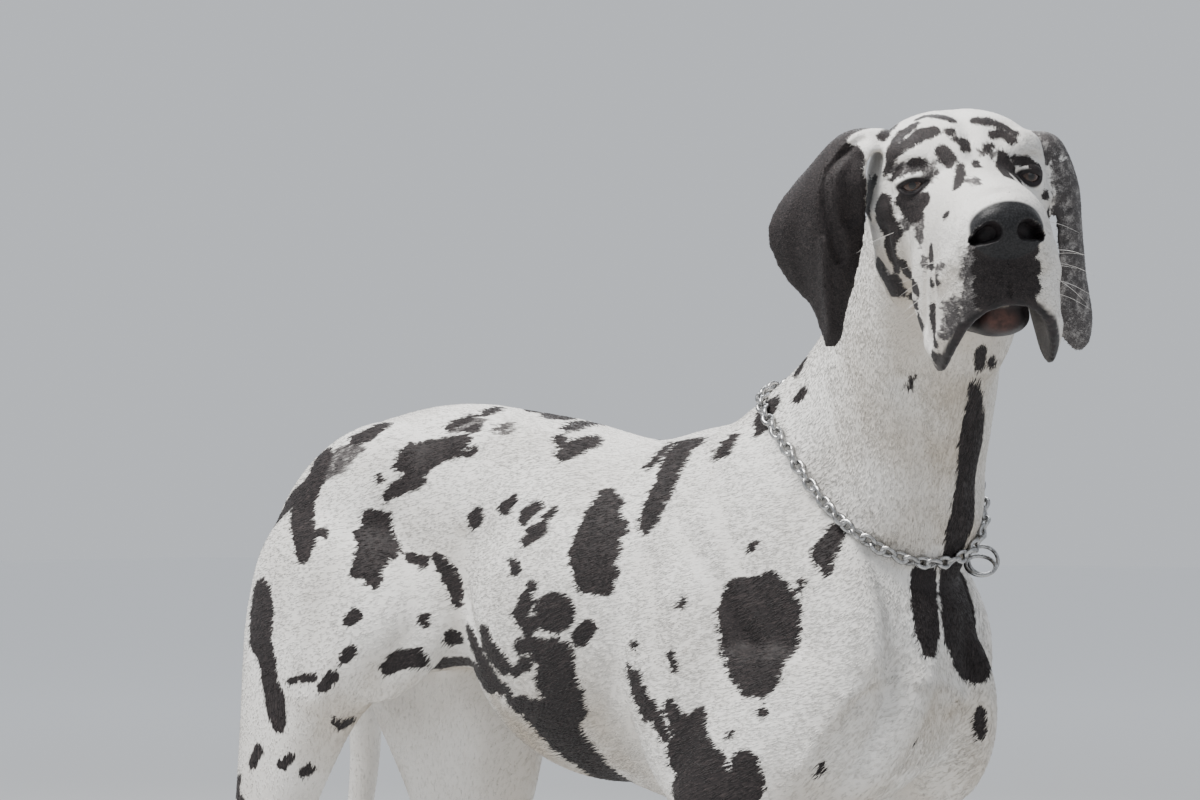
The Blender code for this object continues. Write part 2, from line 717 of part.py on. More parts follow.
def chain_route(tree):
    """Evenly spaced places round the neck, on the skin, with the outward direction at each."""
    facing = CHAIN_FACING.normalized()
    across = Vector((0, 1, 0))
    ahead = across.cross(facing).normalized()
    across = facing.cross(ahead)
    turns = 180
    hits = []
    for i in range(turns):
        angle = 2 * pi * i / turns
        out = ahead * cos(angle) + across * sin(angle)
        low = CHAIN_AT - facing * CHAIN_SAG * max(0, -cos(angle)) ** 3
        hits.append(tree.ray_cast(low + out * 0.25, -out)[0])
    lengths = [0]
    for a, b in zip(hits, hits[1:] + hits[:1]):
        lengths.append(lengths[-1] + (b - a).length)
    count = 2 * round(lengths[-1] / LINK_PITCH / 2)
    route = []
    for i in range(count):
        wanted = lengths[-1] * i / count
        k = max(n for n in range(turns) if lengths[n] <= wanted)
        share = (wanted - lengths[k]) / (lengths[k + 1] - lengths[k])
        place = hits[k].lerp(hits[(k + 1) % turns], share)
        route.append((place, tree.find_nearest(place)[1]))
    return route


def wire_loops(at, along, across, half_length, half_width, wire, steps, sides):
    """Rings of points round a closed oval of wire."""
    lift = along.cross(across)
    loops = []
    for i in range(steps):
        angle = 2 * pi * i / steps
        centre = at + along * cos(angle) * half_length + across * sin(angle) * half_width
        out = (along * cos(angle) / half_length + across * sin(angle) / half_width).normalized()
        turns = [pi / sides + 2 * pi * j / sides for j in range(sides)]
        loops.append([centre + (out * cos(turn) + lift * sin(turn)) * wire for turn in turns])
    return loops


def link_loops(at, along, out, tilt):
    """One long link that lies along the chain, tilted about it."""
    across = Matrix.Rotation(radians(tilt), 3, along) @ out.cross(along).normalized()
    half_length, half_width = LINK_LENGTH / 2 - LINK_WIRE, LINK_WIDTH / 2 - LINK_WIRE
    return wire_loops(at, along, across, half_length, half_width, LINK_WIRE * 1.15, 6, 4)


def wire_solid(name, loops):
    bm = bmesh.new()
    rings = [[bm.verts.new(point) for point in loop] for loop in loops]
    for near, far in zip(rings, rings[1:] + rings[:1]):
        for i in range(len(near)):
            j = (i + 1) % len(near)
            bm.faces.new((near[i], near[j], far[j], far[i]))
    return solid_object(name, bm)


def clearance(tree, loops):
    """The smallest distance of the points from the skin, less than zero where one is inside it."""
    least = 1.0
    for loop in loops:
        for point in loop:
            near, facing, _, _ = tree.find_nearest(point)
            least = min(least, (point - near).dot(facing))
    return least


def collar_chain(skin):
    """The links of the collar lying on the skin, and its two rings, as one solid."""
    tree = BVHTree.FromObject(skin, bpy.context.evaluated_depsgraph_get())
    route = chain_route(tree)
    trial = 0.010
    places = []
    for i, (place, out) in enumerate(route):
        along = (route[(i + 1) % len(route)][0] - route[i - 1][0]).normalized()
        tilt = LINK_TILT if i % 2 else -LINK_TILT
        free = clearance(tree, link_loops(place + out * trial, along, out, tilt))
        places.append((place, out, along, tilt, trial - free + 2 * GAP))
    links = bpy.data.collections.new("links")
    bpy.context.scene.collection.children.link(links)
    pieces = []
    for i, (place, out, along, tilt, _) in enumerate(places):
        lift = max(places[k][4] for k in (i - 1, i, (i + 1) % len(places)))
        pieces.append(wire_solid("link", link_loops(place + out * lift, along, out, tilt)))
    for at, facing in COLLAR_RINGS:
        turn = facing.to_track_quat("Z", "Y").to_matrix()
        out = tree.find_nearest(at)[1]
        for _ in range(4):
            loops = wire_loops(at, turn.col[0], turn.col[1], COLLAR_RING_RADIUS, COLLAR_RING_RADIUS,
                               COLLAR_RING_WIRE, 20, 6)
            at = at + out * max(0, 2 * GAP - clearance(tree, loops))
        pieces.append(wire_solid("ring", loops))
    chain = pieces[0]
    for piece in pieces[1:]:
        bpy.context.scene.collection.objects.unlink(piece)
        links.objects.link(piece)
    join = chain.modifiers.new("join", "BOOLEAN")
    join.operand_type = "COLLECTION"
    join.collection = links
    join.operation = "UNION"
    join.solver = "EXACT"
    baked(chain)
    removed(*links.objects)
    bpy.data.collections.remove(links)
    return largest_surface(chain)


def material(name, colour, roughness, metallic=0.0):
    made = bpy.data.materials.new(name)
    made.use_nodes = True
    shader = made.node_tree.nodes["Principled BSDF"]
    shader.inputs["Base Color"].default_value = (*colour, 1)
    shader.inputs["Roughness"].default_value = roughness
    shader.inputs["Metallic"].default_value = metallic
    return made


def main():
    for obj in list(bpy.data.objects):
        bpy.data.objects.remove(obj)

    body = body_skin()
    nodes = {}
    thinned(body, BODY_TRIANGLES)
    nodes["collar_chain"] = collar_chain(body)
    floor = block((-2, -2, -1), (2, 2, 0))
    boolean(body, floor, "DIFFERENCE")
    removed(floor)

    head = thinned(head_skin(), HEAD_TRIANGLES)
    frame = head_frame()
    point, facing = frame @ NECK_TOP[0], frame.to_3x3() @ NECK_TOP[1]
    whole_head = split_plane(head, "head", point, facing)
    removed(head)
    dropped = split_plane(body, "dropped", point, facing)
    removed(dropped)
    nodes["head"] = whole_head
    nodes["neck"] = split_plane(body, "neck", *NECK_FOOT)

    for side_name, side in (("right", -1), ("left", 1)):
        low, high = sorted((0.066 * side, 0.3 * side))
        nodes["foreleg_" + side_name] = split_block(
            body, "foreleg_" + side_name, (0.05, low, -0.1), (0.42, high, ELBOW_TOP))
        low, high = sorted((0.020 * side, 0.3 * side))
        nodes["thigh_" + side_name] = split_block(
            body, "thigh_" + side_name, (-0.7, low, -0.1), (-0.14, high, THIGH_TOP))
    for side_name in ("right", "left"):
        nodes["hock_" + side_name] = split_plane(
            nodes["thigh_" + side_name], "hock_" + side_name, Vector((-0.4, 0, HOCK_TOP)), Vector((0, 0, -1)))
        for upper, paw in (("foreleg_", "forepaw_"), ("hock_", "hindpaw_")):
            at = paw_places()[paw + side_name] + Vector((0, 0, PAW_TOP))
            nodes[paw + side_name] = split_plane(nodes[upper + side_name], paw + side_name, at, Vector((0, 0, -1)))
    nodes["torso"] = body
    for obj in nodes.values():
        largest_surface(obj)
    for name, at in paw_places().items():
        claws(nodes[name], at)

    nodes["ear_right"] = ear("right", nodes["head"])
    nodes["ear_left"] = ear("left", nodes["head"])
    for name, eye in head_parts(nodes["head"]).items():
        nodes["eye_" + name] = eye
    nodes["tail"] = tail(nodes["torso"], (nodes["thigh_right"], nodes["thigh_left"]))

    coat = (0.62, 0.60, 0.57)
    dark = (0.045, 0.040, 0.042)
    finishes = {
        "eye": (material("eye", (0.035, 0.018, 0.010), 0.12)),
        "collar": (material("collar_steel", (0.55, 0.56, 0.58), 0.28, 1.0)),
        "ear": (material("ear_coat", dark, 0.75)),
    }
    group = bpy.data.collections.new("great_dane")
    bpy.context.scene.collection.children.link(group)
    for name, obj in nodes.items():
        obj.name = name
        obj.data.transform(Matrix.Translation(TO_ORIGIN))
        finish = finishes.get(name.split("_")[0]) or material(name + "_coat", coat, 0.75)
        obj.data.materials.clear()
        obj.data.materials.append(finish)
        for owner in list(obj.users_collection):
            owner.objects.unlink(obj)
        group.objects.link(obj)


if __name__ == "__main__":
    main()
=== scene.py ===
# %% [markdown]
# A harlequin great dane, life size, standing with its head turned to its right.
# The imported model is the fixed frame: its nodes say where everything is. This lesson grows one seamless
# skin over the same forms, opens eyes, nostrils and lips in it, lays a short coat on it and
# hangs a steel chain round its neck. All lengths are metres, and the dog looks along +X.

# %% The frame and its box
from math import cos, pi, radians, sin

import bmesh
import bpy
import numpy as np
from mathutils import Matrix, Vector
from mathutils.bvhtree import BVHTree


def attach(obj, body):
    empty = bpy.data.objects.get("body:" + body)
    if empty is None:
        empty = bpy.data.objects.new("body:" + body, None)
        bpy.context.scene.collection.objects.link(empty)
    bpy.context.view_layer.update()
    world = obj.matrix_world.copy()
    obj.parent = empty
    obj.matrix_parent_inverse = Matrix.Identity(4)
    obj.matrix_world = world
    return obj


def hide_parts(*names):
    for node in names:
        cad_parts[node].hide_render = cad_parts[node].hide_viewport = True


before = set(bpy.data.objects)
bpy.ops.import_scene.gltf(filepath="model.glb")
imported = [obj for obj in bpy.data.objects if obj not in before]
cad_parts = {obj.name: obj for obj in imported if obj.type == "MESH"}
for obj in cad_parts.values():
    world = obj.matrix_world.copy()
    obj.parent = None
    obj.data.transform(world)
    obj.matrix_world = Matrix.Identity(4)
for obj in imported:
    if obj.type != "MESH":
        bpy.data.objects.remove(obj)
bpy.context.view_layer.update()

# The forms are written round the dog's chest, and this step takes them to the frame's origin
TO_ORIGIN = Vector((-0.032, 0.104, 0.0))

# %% [markdown]
# The camera stands where the photographer stood: level with the dog's elbow, ahead of its right
# shoulder, looking slightly up. The focal length is in millimetres for a 36 mm wide sensor.

# %% Camera
CAMERA_AT = (1.632, -2.155, 0.731)
CAMERA_YAW = 127
CAMERA_PITCH = 2.6
CAMERA_LENS = 81.8


def placed(name, data):
    """A new object in the scene, at the origin."""
    obj = bpy.data.objects.new(name, data)
    bpy.context.scene.collection.objects.link(obj)
    return obj


camera_data = bpy.data.cameras.new("camera")
camera_data.lens = CAMERA_LENS
camera_data.sensor_fit = "HORIZONTAL"
camera_data.sensor_width = 36
camera_data.clip_end = 120
camera = placed("camera", camera_data)
camera.location = CAMERA_AT
camera.rotation_euler = (radians(90 + CAMERA_PITCH), 0, radians(CAMERA_YAW - 90))
bpy.context.scene.camera = camera
print("camera at", CAMERA_AT)

# %% [markdown]
# A plain pale floor runs under the dog. It is a wide sheet, so that no edge of it shows.

# %% Floor
FLOOR_HALF_WIDTH = 40
NEAR_PAINT, FAR_PAINT = (0.60, 0.60, 0.59, 1), (0.96, 0.97, 0.98, 1)
PALER_FROM, PALEST_FROM = 1.0, 9.0

bm = bmesh.new()
bmesh.ops.create_grid(bm, x_segments=4, y_segments=4, size=FLOOR_HALF_WIDTH)
floor_mesh = bpy.data.meshes.new("floor")
bm.to_mesh(floor_mesh)
bm.free()
floor = placed("floor", floor_mesh)

paint = bpy.data.materials.new("pale_floor")
paint.use_nodes = True
paint_shader = paint.node_tree.nodes["Principled BSDF"]
paint_shader.inputs["Roughness"].default_value = 0.85
# Far from the dog the paint is nearly white, so that the floor runs out into the sky without an edge
nodes, links = paint.node_tree.nodes, paint.node_tree.links
place = nodes.new("ShaderNodeTexCoord").outputs["Object"]
away = nodes.new("ShaderNodeVectorMath")
away.operation = "LENGTH"
links.new(place, away.inputs[0])
fade = nodes.new("ShaderNodeMapRange")
fade.interpolation_type = "SMOOTHSTEP"
fade.inputs["From Min"].default_value = PALER_FROM
fade.inputs["From Max"].default_value = PALEST_FROM
links.new(away.outputs["Value"], fade.inputs["Value"])
shades = nodes.new("ShaderNodeValToRGB")
shades.color_ramp.elements[0].color = NEAR_PAINT
shades.color_ramp.elements[1].color = FAR_PAINT
links.new(fade.outputs["Result"], shades.inputs["Fac"])
links.new(shades.outputs["Color"], paint_shader.inputs["Base Color"])
floor.data.materials.append(paint)
print("floor", 2 * FLOOR_HALF_WIDTH, "metres wide")

# %% [markdown]
# Soft light, as from an overcast sky: a pale world all round, a broad lamp high up on the camera's left,
# and a weaker one on the right.

# %% Light
SKY_COLOUR, SKY_STRENGTH = (0.90, 0.94, 1.0, 1), 0.68

world = bpy.data.worlds.new("soft_sky")
bpy.context.scene.world = world
world.use_nodes = True
sky = world.node_tree.nodes["Background"].inputs
sky["Color"].default_value = SKY_COLOUR
sky["Strength"].default_value = SKY_STRENGTH


def soft_lamp(name, at, aim, size, watts, colour):
    """A round lamp at a place, aimed at another."""
    lamp = bpy.data.lights.new(name, "AREA")
    lamp.shape = "DISK"
    lamp.size = size
    lamp.energy = watts
    lamp.color = colour
    obj = placed(name, lamp)
    obj.location = at
    obj.rotation_euler = (Vector(aim) - Vector(at)).to_track_quat("-Z", "Y").to_euler()


soft_lamp("key", (-0.5, -1.5, 3.6), (0.0, 0.1, 0.7), 1.8, 235, (1.0, 0.985, 0.96))
soft_lamp("fill", (3.2, -0.8, 1.8), (0.2, 0, 0.7), 2.0, 7, (0.95, 0.97, 1.0))
soft_lamp("rim", (-1.2, 2.4, 2.8), (0, 0, 0.7), 1.8, 60, (0.96, 0.98, 1.0))
print("lamps", len(bpy.data.lights))

# %% [markdown]
# A body is easier to build from many plain forms than from one drawing: slices along the trunk, the neck
# and the legs, and long ovals for the muscles that lie on them. A slice is a circle that is pulled into an
# oval, and bridge_loops closes the wall between one slice and the next.

# %% Slices and ovals
RING_SIDES = 40


def catmull_rom(rows, per_step):
    """Rows of numbers, filled in with a smooth curve that passes through each of them."""
    rows = np.array(rows, float)
    padded = np.concatenate([[2 * rows[0] - rows[1]], rows, [2 * rows[-1] - rows[-2]]])
    filled = []
    for a, b, c, d in zip(padded, padded[1:], padded[2:], padded[3:]):
        for t in np.arange(per_step) / per_step:
            cubic = (3 * b - a - 3 * c + d) * t**3
            filled.append(0.5 * (2 * b + (c - a) * t + (2 * a - 5 * b + 4 * c - d) * t**2 + cubic))
    return np.array(filled + [rows[-1]])


def neighbours(rows, i):
    """The rows before and after row i, or row i itself at an end."""
    return rows[max(i - 1, 0)], rows[min(i + 1, len(rows) - 1)]


def signed_power(value, exponent):
    """A power that keeps the sign of its value."""
    return abs(value) ** exponent * (1 if value >= 0 else -1)


def pour(bm, into):
    """Adds a finished form to a bigger bmesh, and frees it."""
    form = bpy.data.meshes.new("form")
    bm.to_mesh(form)
    bm.free()
    into.from_mesh(form)
    bpy.data.meshes.remove(form)


def loft(into, slices, squareness, sides=RING_SIDES):
    """A closed form through slices: centre, side and up directions, half width, rise and drop."""
    bm = bmesh.new()
    rings = []
    for centre, side, up, half_width, rise, drop in slices:
        verts = bmesh.ops.create_circle(bm, segments=sides, radius=1)["verts"]
        for vert in verts:
            across = signed_power(vert.co.x, 2 / squareness) * half_width
            along = signed_power(vert.co.y, 2 / squareness) * (rise if vert.co.y > 0 else drop)
            vert.co = centre + side * across + up * along
        rings.append(list({edge for vert in verts for edge in vert.link_edges}))
    for near, far in zip(rings, rings[1:]):
        bmesh.ops.bridge_loops(bm, edges=near + far)
    bmesh.ops.holes_fill(bm, edges=rings[0] + rings[-1], sides=0)
    bmesh.ops.recalc_face_normals(bm, faces=bm.faces)
    pour(bm, into)


def slices_along(into, stations, squareness, place=Matrix.Identity(4)):
    """Upright slices: forward, top, bottom, half width and height of the widest point."""
    side, up = place.to_3x3() @ Vector((0, 1, 0)), place.to_3x3() @ Vector((0, 0, 1))
    slices = [(place @ Vector((x, 0, widest)), side, up, half_width, top - widest, widest - bottom)
              for x, top, bottom, half_width, widest in catmull_rom(stations, 4)]
    loft(into, slices, squareness)


def slices_down(into, stations, side, squareness):
    """Level slices: height, front, rear, distance from the middle and half width."""
    forward, left = Vector((1, 0, 0)), Vector((0, 1, 0))
    slices = [(Vector(((front + rear) / 2, y * side, z)), forward, left, (front - rear) / 2, width, width)
              for z, front, rear, y, width in catmull_rom(stations, 4)]
    loft(into, slices, squareness)


ball_form = bmesh.new()
bmesh.ops.create_uvsphere(ball_form, u_segments=36, v_segments=22, radius=1)
BALL = bpy.data.meshes.new("ball")
ball_form.to_mesh(BALL)
ball_form.free()


def oval(into, centre, radii, turn=Matrix.Identity(4)):
    """A ball stretched to three radii, about its own turned axes."""
    count = len(into.verts)
    into.from_mesh(BALL)
    into.verts.ensure_lookup_table()
    place = Matrix.Translation(centre) @ turn @ Matrix.Diagonal((*radii, 1))
    for vert in into.verts[count:]:
        vert.co = place @ vert.co


def muscle(into, start, end, wide, thick, outward):
    """An oval from one attachment to the other, thin along the outward direction."""
    start, end = Vector(start), Vector(end)
    along = (end - start).normalized()
    across = outward.cross(along).normalized()
    turn = Matrix((across, along.cross(across), along)).transposed().to_4x4()
    oval(into, (start + end) / 2, (wide, thick, (end - start).length / 2), turn)


def piece_of(name, bm):
    """The finished bmesh as an object at the origin."""
    mesh = bpy.data.meshes.new(name)
    bm.to_mesh(mesh)
    bm.free()
    return placed(name, mesh)


print("slices have", RING_SIDES, "sides")

# %% [markdown]
# The trunk of a great dane is deep in the chest, tucked up in the flank and narrow at the hips. The
# slices give the outline, and the ovals give the ribs, shoulder blades, upper arms, breast and rump.

# %% Trunk
# Tail to chest: forward, top line, under line, half width, height of the widest point
TRUNK = (
    (-0.470, 0.725, 0.655, 0.034, 0.690),
    (-0.435, 0.778, 0.600, 0.070, 0.700),
    (-0.360, 0.832, 0.570, 0.096, 0.705),
    (-0.270, 0.856, 0.570, 0.094, 0.710),
    (-0.200, 0.860, 0.577, 0.086, 0.720),
    (-0.130, 0.851, 0.545, 0.088, 0.710),
    (-0.060, 0.839, 0.500, 0.106, 0.680),
    (0.040, 0.816, 0.462, 0.122, 0.640),
    (0.120, 0.829, 0.445, 0.118, 0.630),
    (0.200, 0.833, 0.440, 0.110, 0.630),
    (0.280, 0.790, 0.458, 0.104, 0.640),
    (0.340, 0.725, 0.500, 0.088, 0.620),
    (0.378, 0.660, 0.560, 0.048, 0.610),
)
# The dog stands with its left foreleg a little ahead of the right one
LEFT_FORELEG_STEP = 0.035
LEFT_SHOULDER_INSET = 0.008

body = bmesh.new()
slices_along(body, TRUNK, 2.2)
oval(body, Vector((0.005, 0, 0.640)), (0.195, 0.137, 0.172), Matrix.Rotation(radians(-8), 4, "Y"))
oval(body, Vector((0.312, -0.003, 0.590)), (0.066, 0.092, 0.100))
for side in (-1, 1):
    step = LEFT_FORELEG_STEP if side > 0 else 0
    ahead = step / 4
    inset = LEFT_SHOULDER_INSET if side > 0 else 0
    # Upper end, lower end, half width and half thickness of each muscle
    muscles = (
        # Shoulder blade, upper arm, and the breast muscles that cross it
        ((0.130, 0.050, 0.812), (0.348 + ahead, 0.104 - inset, 0.575), 0.080, 0.034),
        ((0.100, 0.086, 0.745), (0.190 + step, 0.118, 0.440), 0.074, 0.038),
        ((0.338 + ahead, 0.090 - inset, 0.635), (0.205 + step, 0.116, 0.435), 0.060, 0.038),
        ((0.362, 0.030, 0.640), (0.268 + step, 0.100 - inset, 0.455), 0.060, 0.028),
        # Rump, and the fold of the flank
        ((-0.225, 0.060, 0.820), (-0.425, 0.062, 0.650), 0.085, 0.048),
        ((-0.165, 0.050, 0.740), (-0.290, 0.088, 0.545), 0.060, 0.028),
    )
    flip = Vector((1, side, 1))
    for upper, lower, wide, thick in muscles:
        muscle(body, Vector(upper) * flip, Vector(lower) * flip, wide, thick, Vector((0, side, 0)))
print("trunk slices", len(TRUNK), "vertices so far", len(body.verts))

# %% [markdown]
# The neck curves up and round to the dog's right. Each of its slices has its own heading.

# %% Neck
# Chest to poll: centre, half depth, half width, heading of the slice in degrees
NECK = (
    ((0.215, 0.000, 0.705), 0.150, 0.094, 0),
    ((0.286, -0.002, 0.780), 0.128, 0.089, -4),
    ((0.338, -0.022, 0.846), 0.106, 0.079, -14),
    ((0.384, -0.060, 0.908), 0.091, 0.074, -26),
    ((0.424, -0.104, 0.962), 0.083, 0.069, -38),
    ((0.455, -0.144, 1.004), 0.076, 0.064, -46),
    ((0.477, -0.172, 1.013), 0.070, 0.060, -48),
)

filled = catmull_rom([(*centre, depth, width, heading) for centre, depth, width, heading in NECK], 5)
slices = []
for i, (x, y, z, depth, width, heading) in enumerate(filled):
    before, after = neighbours(filled, i)
    tangent = Vector(after[:3] - before[:3]).normalized()
    forward = Vector((cos(radians(heading)), sin(radians(heading)), 0))
    side = tangent.cross(forward).normalized()
    slices.append((Vector((x, y, z)), side, side.cross(tangent), width, depth, depth))
loft(body, slices, 2.1)
print("neck slices", len(slices))

# %% [markdown]
# Legs are lofted downwards: elbow, wrist and pastern in front, stifle, hock and long rear pastern behind.
# The hind legs stand apart, the right one further back.

# %% Legs
# Foreleg, down: height, front, rear, half width
FORELEG = (
    (0.610, 0.300, 0.190, 0.012),
    (0.545, 0.300, 0.160, 0.028),
    (0.475, 0.280, 0.146, 0.036),
    (0.420, 0.262, 0.160, 0.036),
    (0.350, 0.251, 0.174, 0.031),
    (0.270, 0.243, 0.187, 0.026),
    (0.205, 0.245, 0.187, 0.029),
    (0.170, 0.244, 0.184, 0.028),
    (0.125, 0.243, 0.195, 0.024),
    (0.075, 0.256, 0.202, 0.027),
    (0.045, 0.262, 0.204, 0.030),
)
# Hind legs, down: height, front, rear, distance from the middle, half width
RIGHT_HINDLEG = (
    (0.770, -0.300, -0.390, 0.056, 0.034),
    (0.710, -0.232, -0.434, 0.074, 0.050),
    (0.640, -0.204, -0.452, 0.081, 0.054),
    (0.580, -0.240, -0.454, 0.085, 0.052),
    (0.520, -0.308, -0.454, 0.087, 0.047),
    (0.460, -0.346, -0.455, 0.090, 0.042),
    (0.410, -0.370, -0.460, 0.092, 0.036),
    (0.360, -0.392, -0.474, 0.093, 0.030),
    (0.310, -0.418, -0.503, 0.094, 0.025),
    (0.275, -0.446, -0.536, 0.094, 0.024),
    (0.245, -0.478, -0.582, 0.094, 0.026),
    (0.215, -0.500, -0.592, 0.094, 0.028),
    (0.165, -0.522, -0.588, 0.094, 0.024),
    (0.110, -0.530, -0.584, 0.094, 0.022),
    (0.065, -0.528, -0.588, 0.095, 0.026),
    (0.045, -0.526, -0.590, 0.095, 0.028),
)
LEFT_HINDLEG = (
    (0.770, -0.290, -0.390, 0.056, 0.034),
    (0.710, -0.215, -0.434, 0.074, 0.050),
    (0.640, -0.185, -0.450, 0.081, 0.054),
    (0.580, -0.178, -0.444, 0.086, 0.052),
    (0.520, -0.182, -0.423, 0.089, 0.047),
    (0.460, -0.196, -0.390, 0.092, 0.042),
    (0.410, -0.213, -0.368, 0.094, 0.036),
    (0.360, -0.243, -0.364, 0.095, 0.030),
    (0.310, -0.290, -0.386, 0.096, 0.025),
    (0.275, -0.328, -0.414, 0.096, 0.024),
    (0.245, -0.356, -0.456, 0.096, 0.026),
    (0.215, -0.376, -0.464, 0.096, 0.028),
    (0.165, -0.392, -0.456, 0.096, 0.024),
    (0.110, -0.398, -0.450, 0.096, 0.022),
    (0.065, -0.396, -0.454, 0.097, 0.026),
    (0.045, -0.394, -0.456, 0.097, 0.028),
)
FORELEG_APART = 0.118

for side, step in ((-1, 0), (1, LEFT_FORELEG_STEP)):
    stations = [(z, front + step, rear + step, FORELEG_APART, width) for z, front, rear, width in FORELEG]
    slices_down(body, stations, side, 2.2)
slices_down(body, RIGHT_HINDLEG, -1, 2.2)
slices_down(body, LEFT_HINDLEG, 1, 2.2)
print("legs, vertices so far", len(body.verts))

# %% [markdown]
# A paw is four arched toes round one big pad. The two middle toes reach further forward.

# %% Paws
PAWS = {
    "fore_right": Vector((0.250, -0.118, 0)),
    "fore_left": Vector((0.285, 0.118, 0)),
    "hind_right": Vector((-0.532, -0.096, 0)),
    "hind_left": Vector((-0.400, 0.096, 0)),
}
# Toe places: sideways from the middle of the paw, and how far back the toe starts
TOES = ((-0.0335, -0.013), (-0.0118, 0.0), (0.0118, 0.0), (0.0335, -0.013))
TOE_SPREAD = 5

for at in PAWS.values():
    oval(body, at + Vector((-0.012, 0, 0.044)), (0.040, 0.034, 0.030))
    oval(body, at + Vector((-0.014, 0, 0.006)), (0.030, 0.032, 0.014))
    for sideways, back in TOES:
        spread = Matrix.Rotation(sideways * TOE_SPREAD, 4, "Z")
        toe = at + Vector((back, sideways, 0))
        arch = spread @ Matrix.Rotation(radians(24), 4, "Y")
        oval(body, toe + Vector((0.014, 0, 0.034)), (0.038, 0.0140, 0.024), arch)
        oval(body, toe + Vector((0.042, 0, 0.017)), (0.022, 0.0135, 0.018), spread)
        oval(body, toe + Vector((0.032, 0, 0.002)), (0.020, 0.0125, 0.010), spread)
print("toes", 4 * len(PAWS))

# %% [markdown]
# The tail hangs between the thighs and curves a little to the rear. A tube follows its centre line.

# %% Tail
TAIL = (
    ((-0.405, 0.000, 0.772), 0.036),
    ((-0.456, 0.006, 0.730), 0.031),
    ((-0.482, 0.034, 0.668), 0.027),
    ((-0.476, 0.080, 0.600), 0.024),
    ((-0.464, 0.110, 0.520), 0.021),
    ((-0.470, 0.114, 0.420), 0.017),
    ((-0.490, 0.110, 0.330), 0.013),
    ((-0.518, 0.104, 0.262), 0.007),
)


def tube(into, points, sides):
    """A tapering round form along a smooth centre line of points and radii."""
    filled = catmull_rom([(*point, radius) for point, radius in points], 4)
    slices = []
    side = Vector((1, 0, 0))
    for i, (x, y, z, radius) in enumerate(filled):
        before, after = neighbours(filled, i)
        tangent = Vector(after[:3] - before[:3]).normalized()
        side = (side - tangent * side.dot(tangent)).normalized()
        slices.append((Vector((x, y, z)), side, tangent.cross(side), radius, radius, radius))
    loft(into, slices, 2, sides)


tube(body, TAIL, 20)
print("tail points", len(TAIL))

# %% [markdown]
# The head has its own frame: its origin is midway between the eyes, x runs forward to the nose, y to the
# dog's left and z up. The frame is turned to the dog's right, tipped down and rolled a little.

# %% Skull, muzzle and jaw
HEAD_AT = Vector((0.545, -0.257, 1.018))
HEAD_TURN, HEAD_PITCH, HEAD_ROLL = -50, 12, 4.7
HEAD = (Matrix.Translation(HEAD_AT) @ Matrix.Rotation(radians(HEAD_TURN), 4, "Z")
        @ Matrix.Rotation(radians(HEAD_PITCH), 4, "Y") @ Matrix.Rotation(radians(HEAD_ROLL), 4, "X"))
HEAD_AXES = HEAD.to_3x3()

# Forward, top, bottom, half width, height of the widest point
SKULL = (
    (-0.165, 0.026, -0.050, 0.046, -0.010),
    (-0.140, 0.044, -0.080, 0.064, -0.012),
    (-0.105, 0.053, -0.105, 0.074, -0.016),
    (-0.070, 0.055, -0.112, 0.077, -0.020),
    (-0.035, 0.053, -0.108, 0.072, -0.022),
    (-0.012, 0.044, -0.100, 0.063, -0.026),
    (0.010, 0.024, -0.095, 0.050, -0.040),
)
MUZZLE = (
    (-0.030, 0.028, -0.095, 0.056, -0.050),
    (0.010, 0.016, -0.098, 0.050, -0.058),
    (0.050, 0.010, -0.098, 0.048, -0.062),
    (0.090, 0.007, -0.095, 0.047, -0.060),
    (0.120, 0.003, -0.088, 0.042, -0.055),
    (0.138, -0.008, -0.078, 0.034, -0.048),
    (0.146, -0.020, -0.066, 0.022, -0.045),
)
JAW = (
    (-0.100, -0.050, -0.118, 0.054, -0.080),
    (-0.050, -0.060, -0.126, 0.046, -0.095),
    (0.000, -0.080, -0.126, 0.034, -0.105),
    (0.060, -0.085, -0.122, 0.027, -0.104),
    (0.100, -0.085, -0.118, 0.024, -0.102),
    (0.120, -0.088, -0.110, 0.016, -0.100),
)
EYE_AT = Vector((-0.0105, 0.0460, 0.000))
EYE_RADIUS = 0.0125
LID_THICKNESS = 0.0034

slices_along(body, SKULL, 2.4, HEAD)
slices_along(body, MUZZLE, 2.5, HEAD)
slices_along(body, JAW, 2.2, HEAD)


def head_oval(centre, radii, turn=0):
    """An oval in the head frame, turned by some degrees about the head's upright axis."""
    oval(body, HEAD @ Vector(centre), radii, HEAD_AXES.to_4x4() @ Matrix.Rotation(radians(turn), 4, "Z"))


# Ball of the nose, then on each side the nostril's wing, brow, cheekbone, cheek and eyelids
head_oval((0.133, 0, -0.023), (0.024, 0.0285, 0.025))
for side in (-1, 1):
    head_oval((0.136, 0.012 * side, -0.028), (0.019, 0.0165, 0.020))
    head_oval((-0.030, 0.040 * side, 0.022), (0.034, 0.026, 0.018), -20 * side)
    head_oval((-0.052, 0.058 * side, -0.024), (0.056, 0.018, 0.018), -13 * side)
    head_oval((-0.082, 0.048 * side, -0.060), (0.050, 0.023, 0.056))
    lid = EYE_RADIUS + LID_THICKNESS
    head_oval((EYE_AT.x, EYE_AT.y * side, EYE_AT.z), (lid, lid * 1.15, lid))
print("head at", tuple(round(v, 3) for v in HEAD_AT + TO_ORIGIN))

# %% [markdown]
# The upper lip hangs past the lower jaw as a thick curtain, deepest below the cheek. It is a loft of
# narrow upright slices that runs from under the nose to the corner of the mouth.

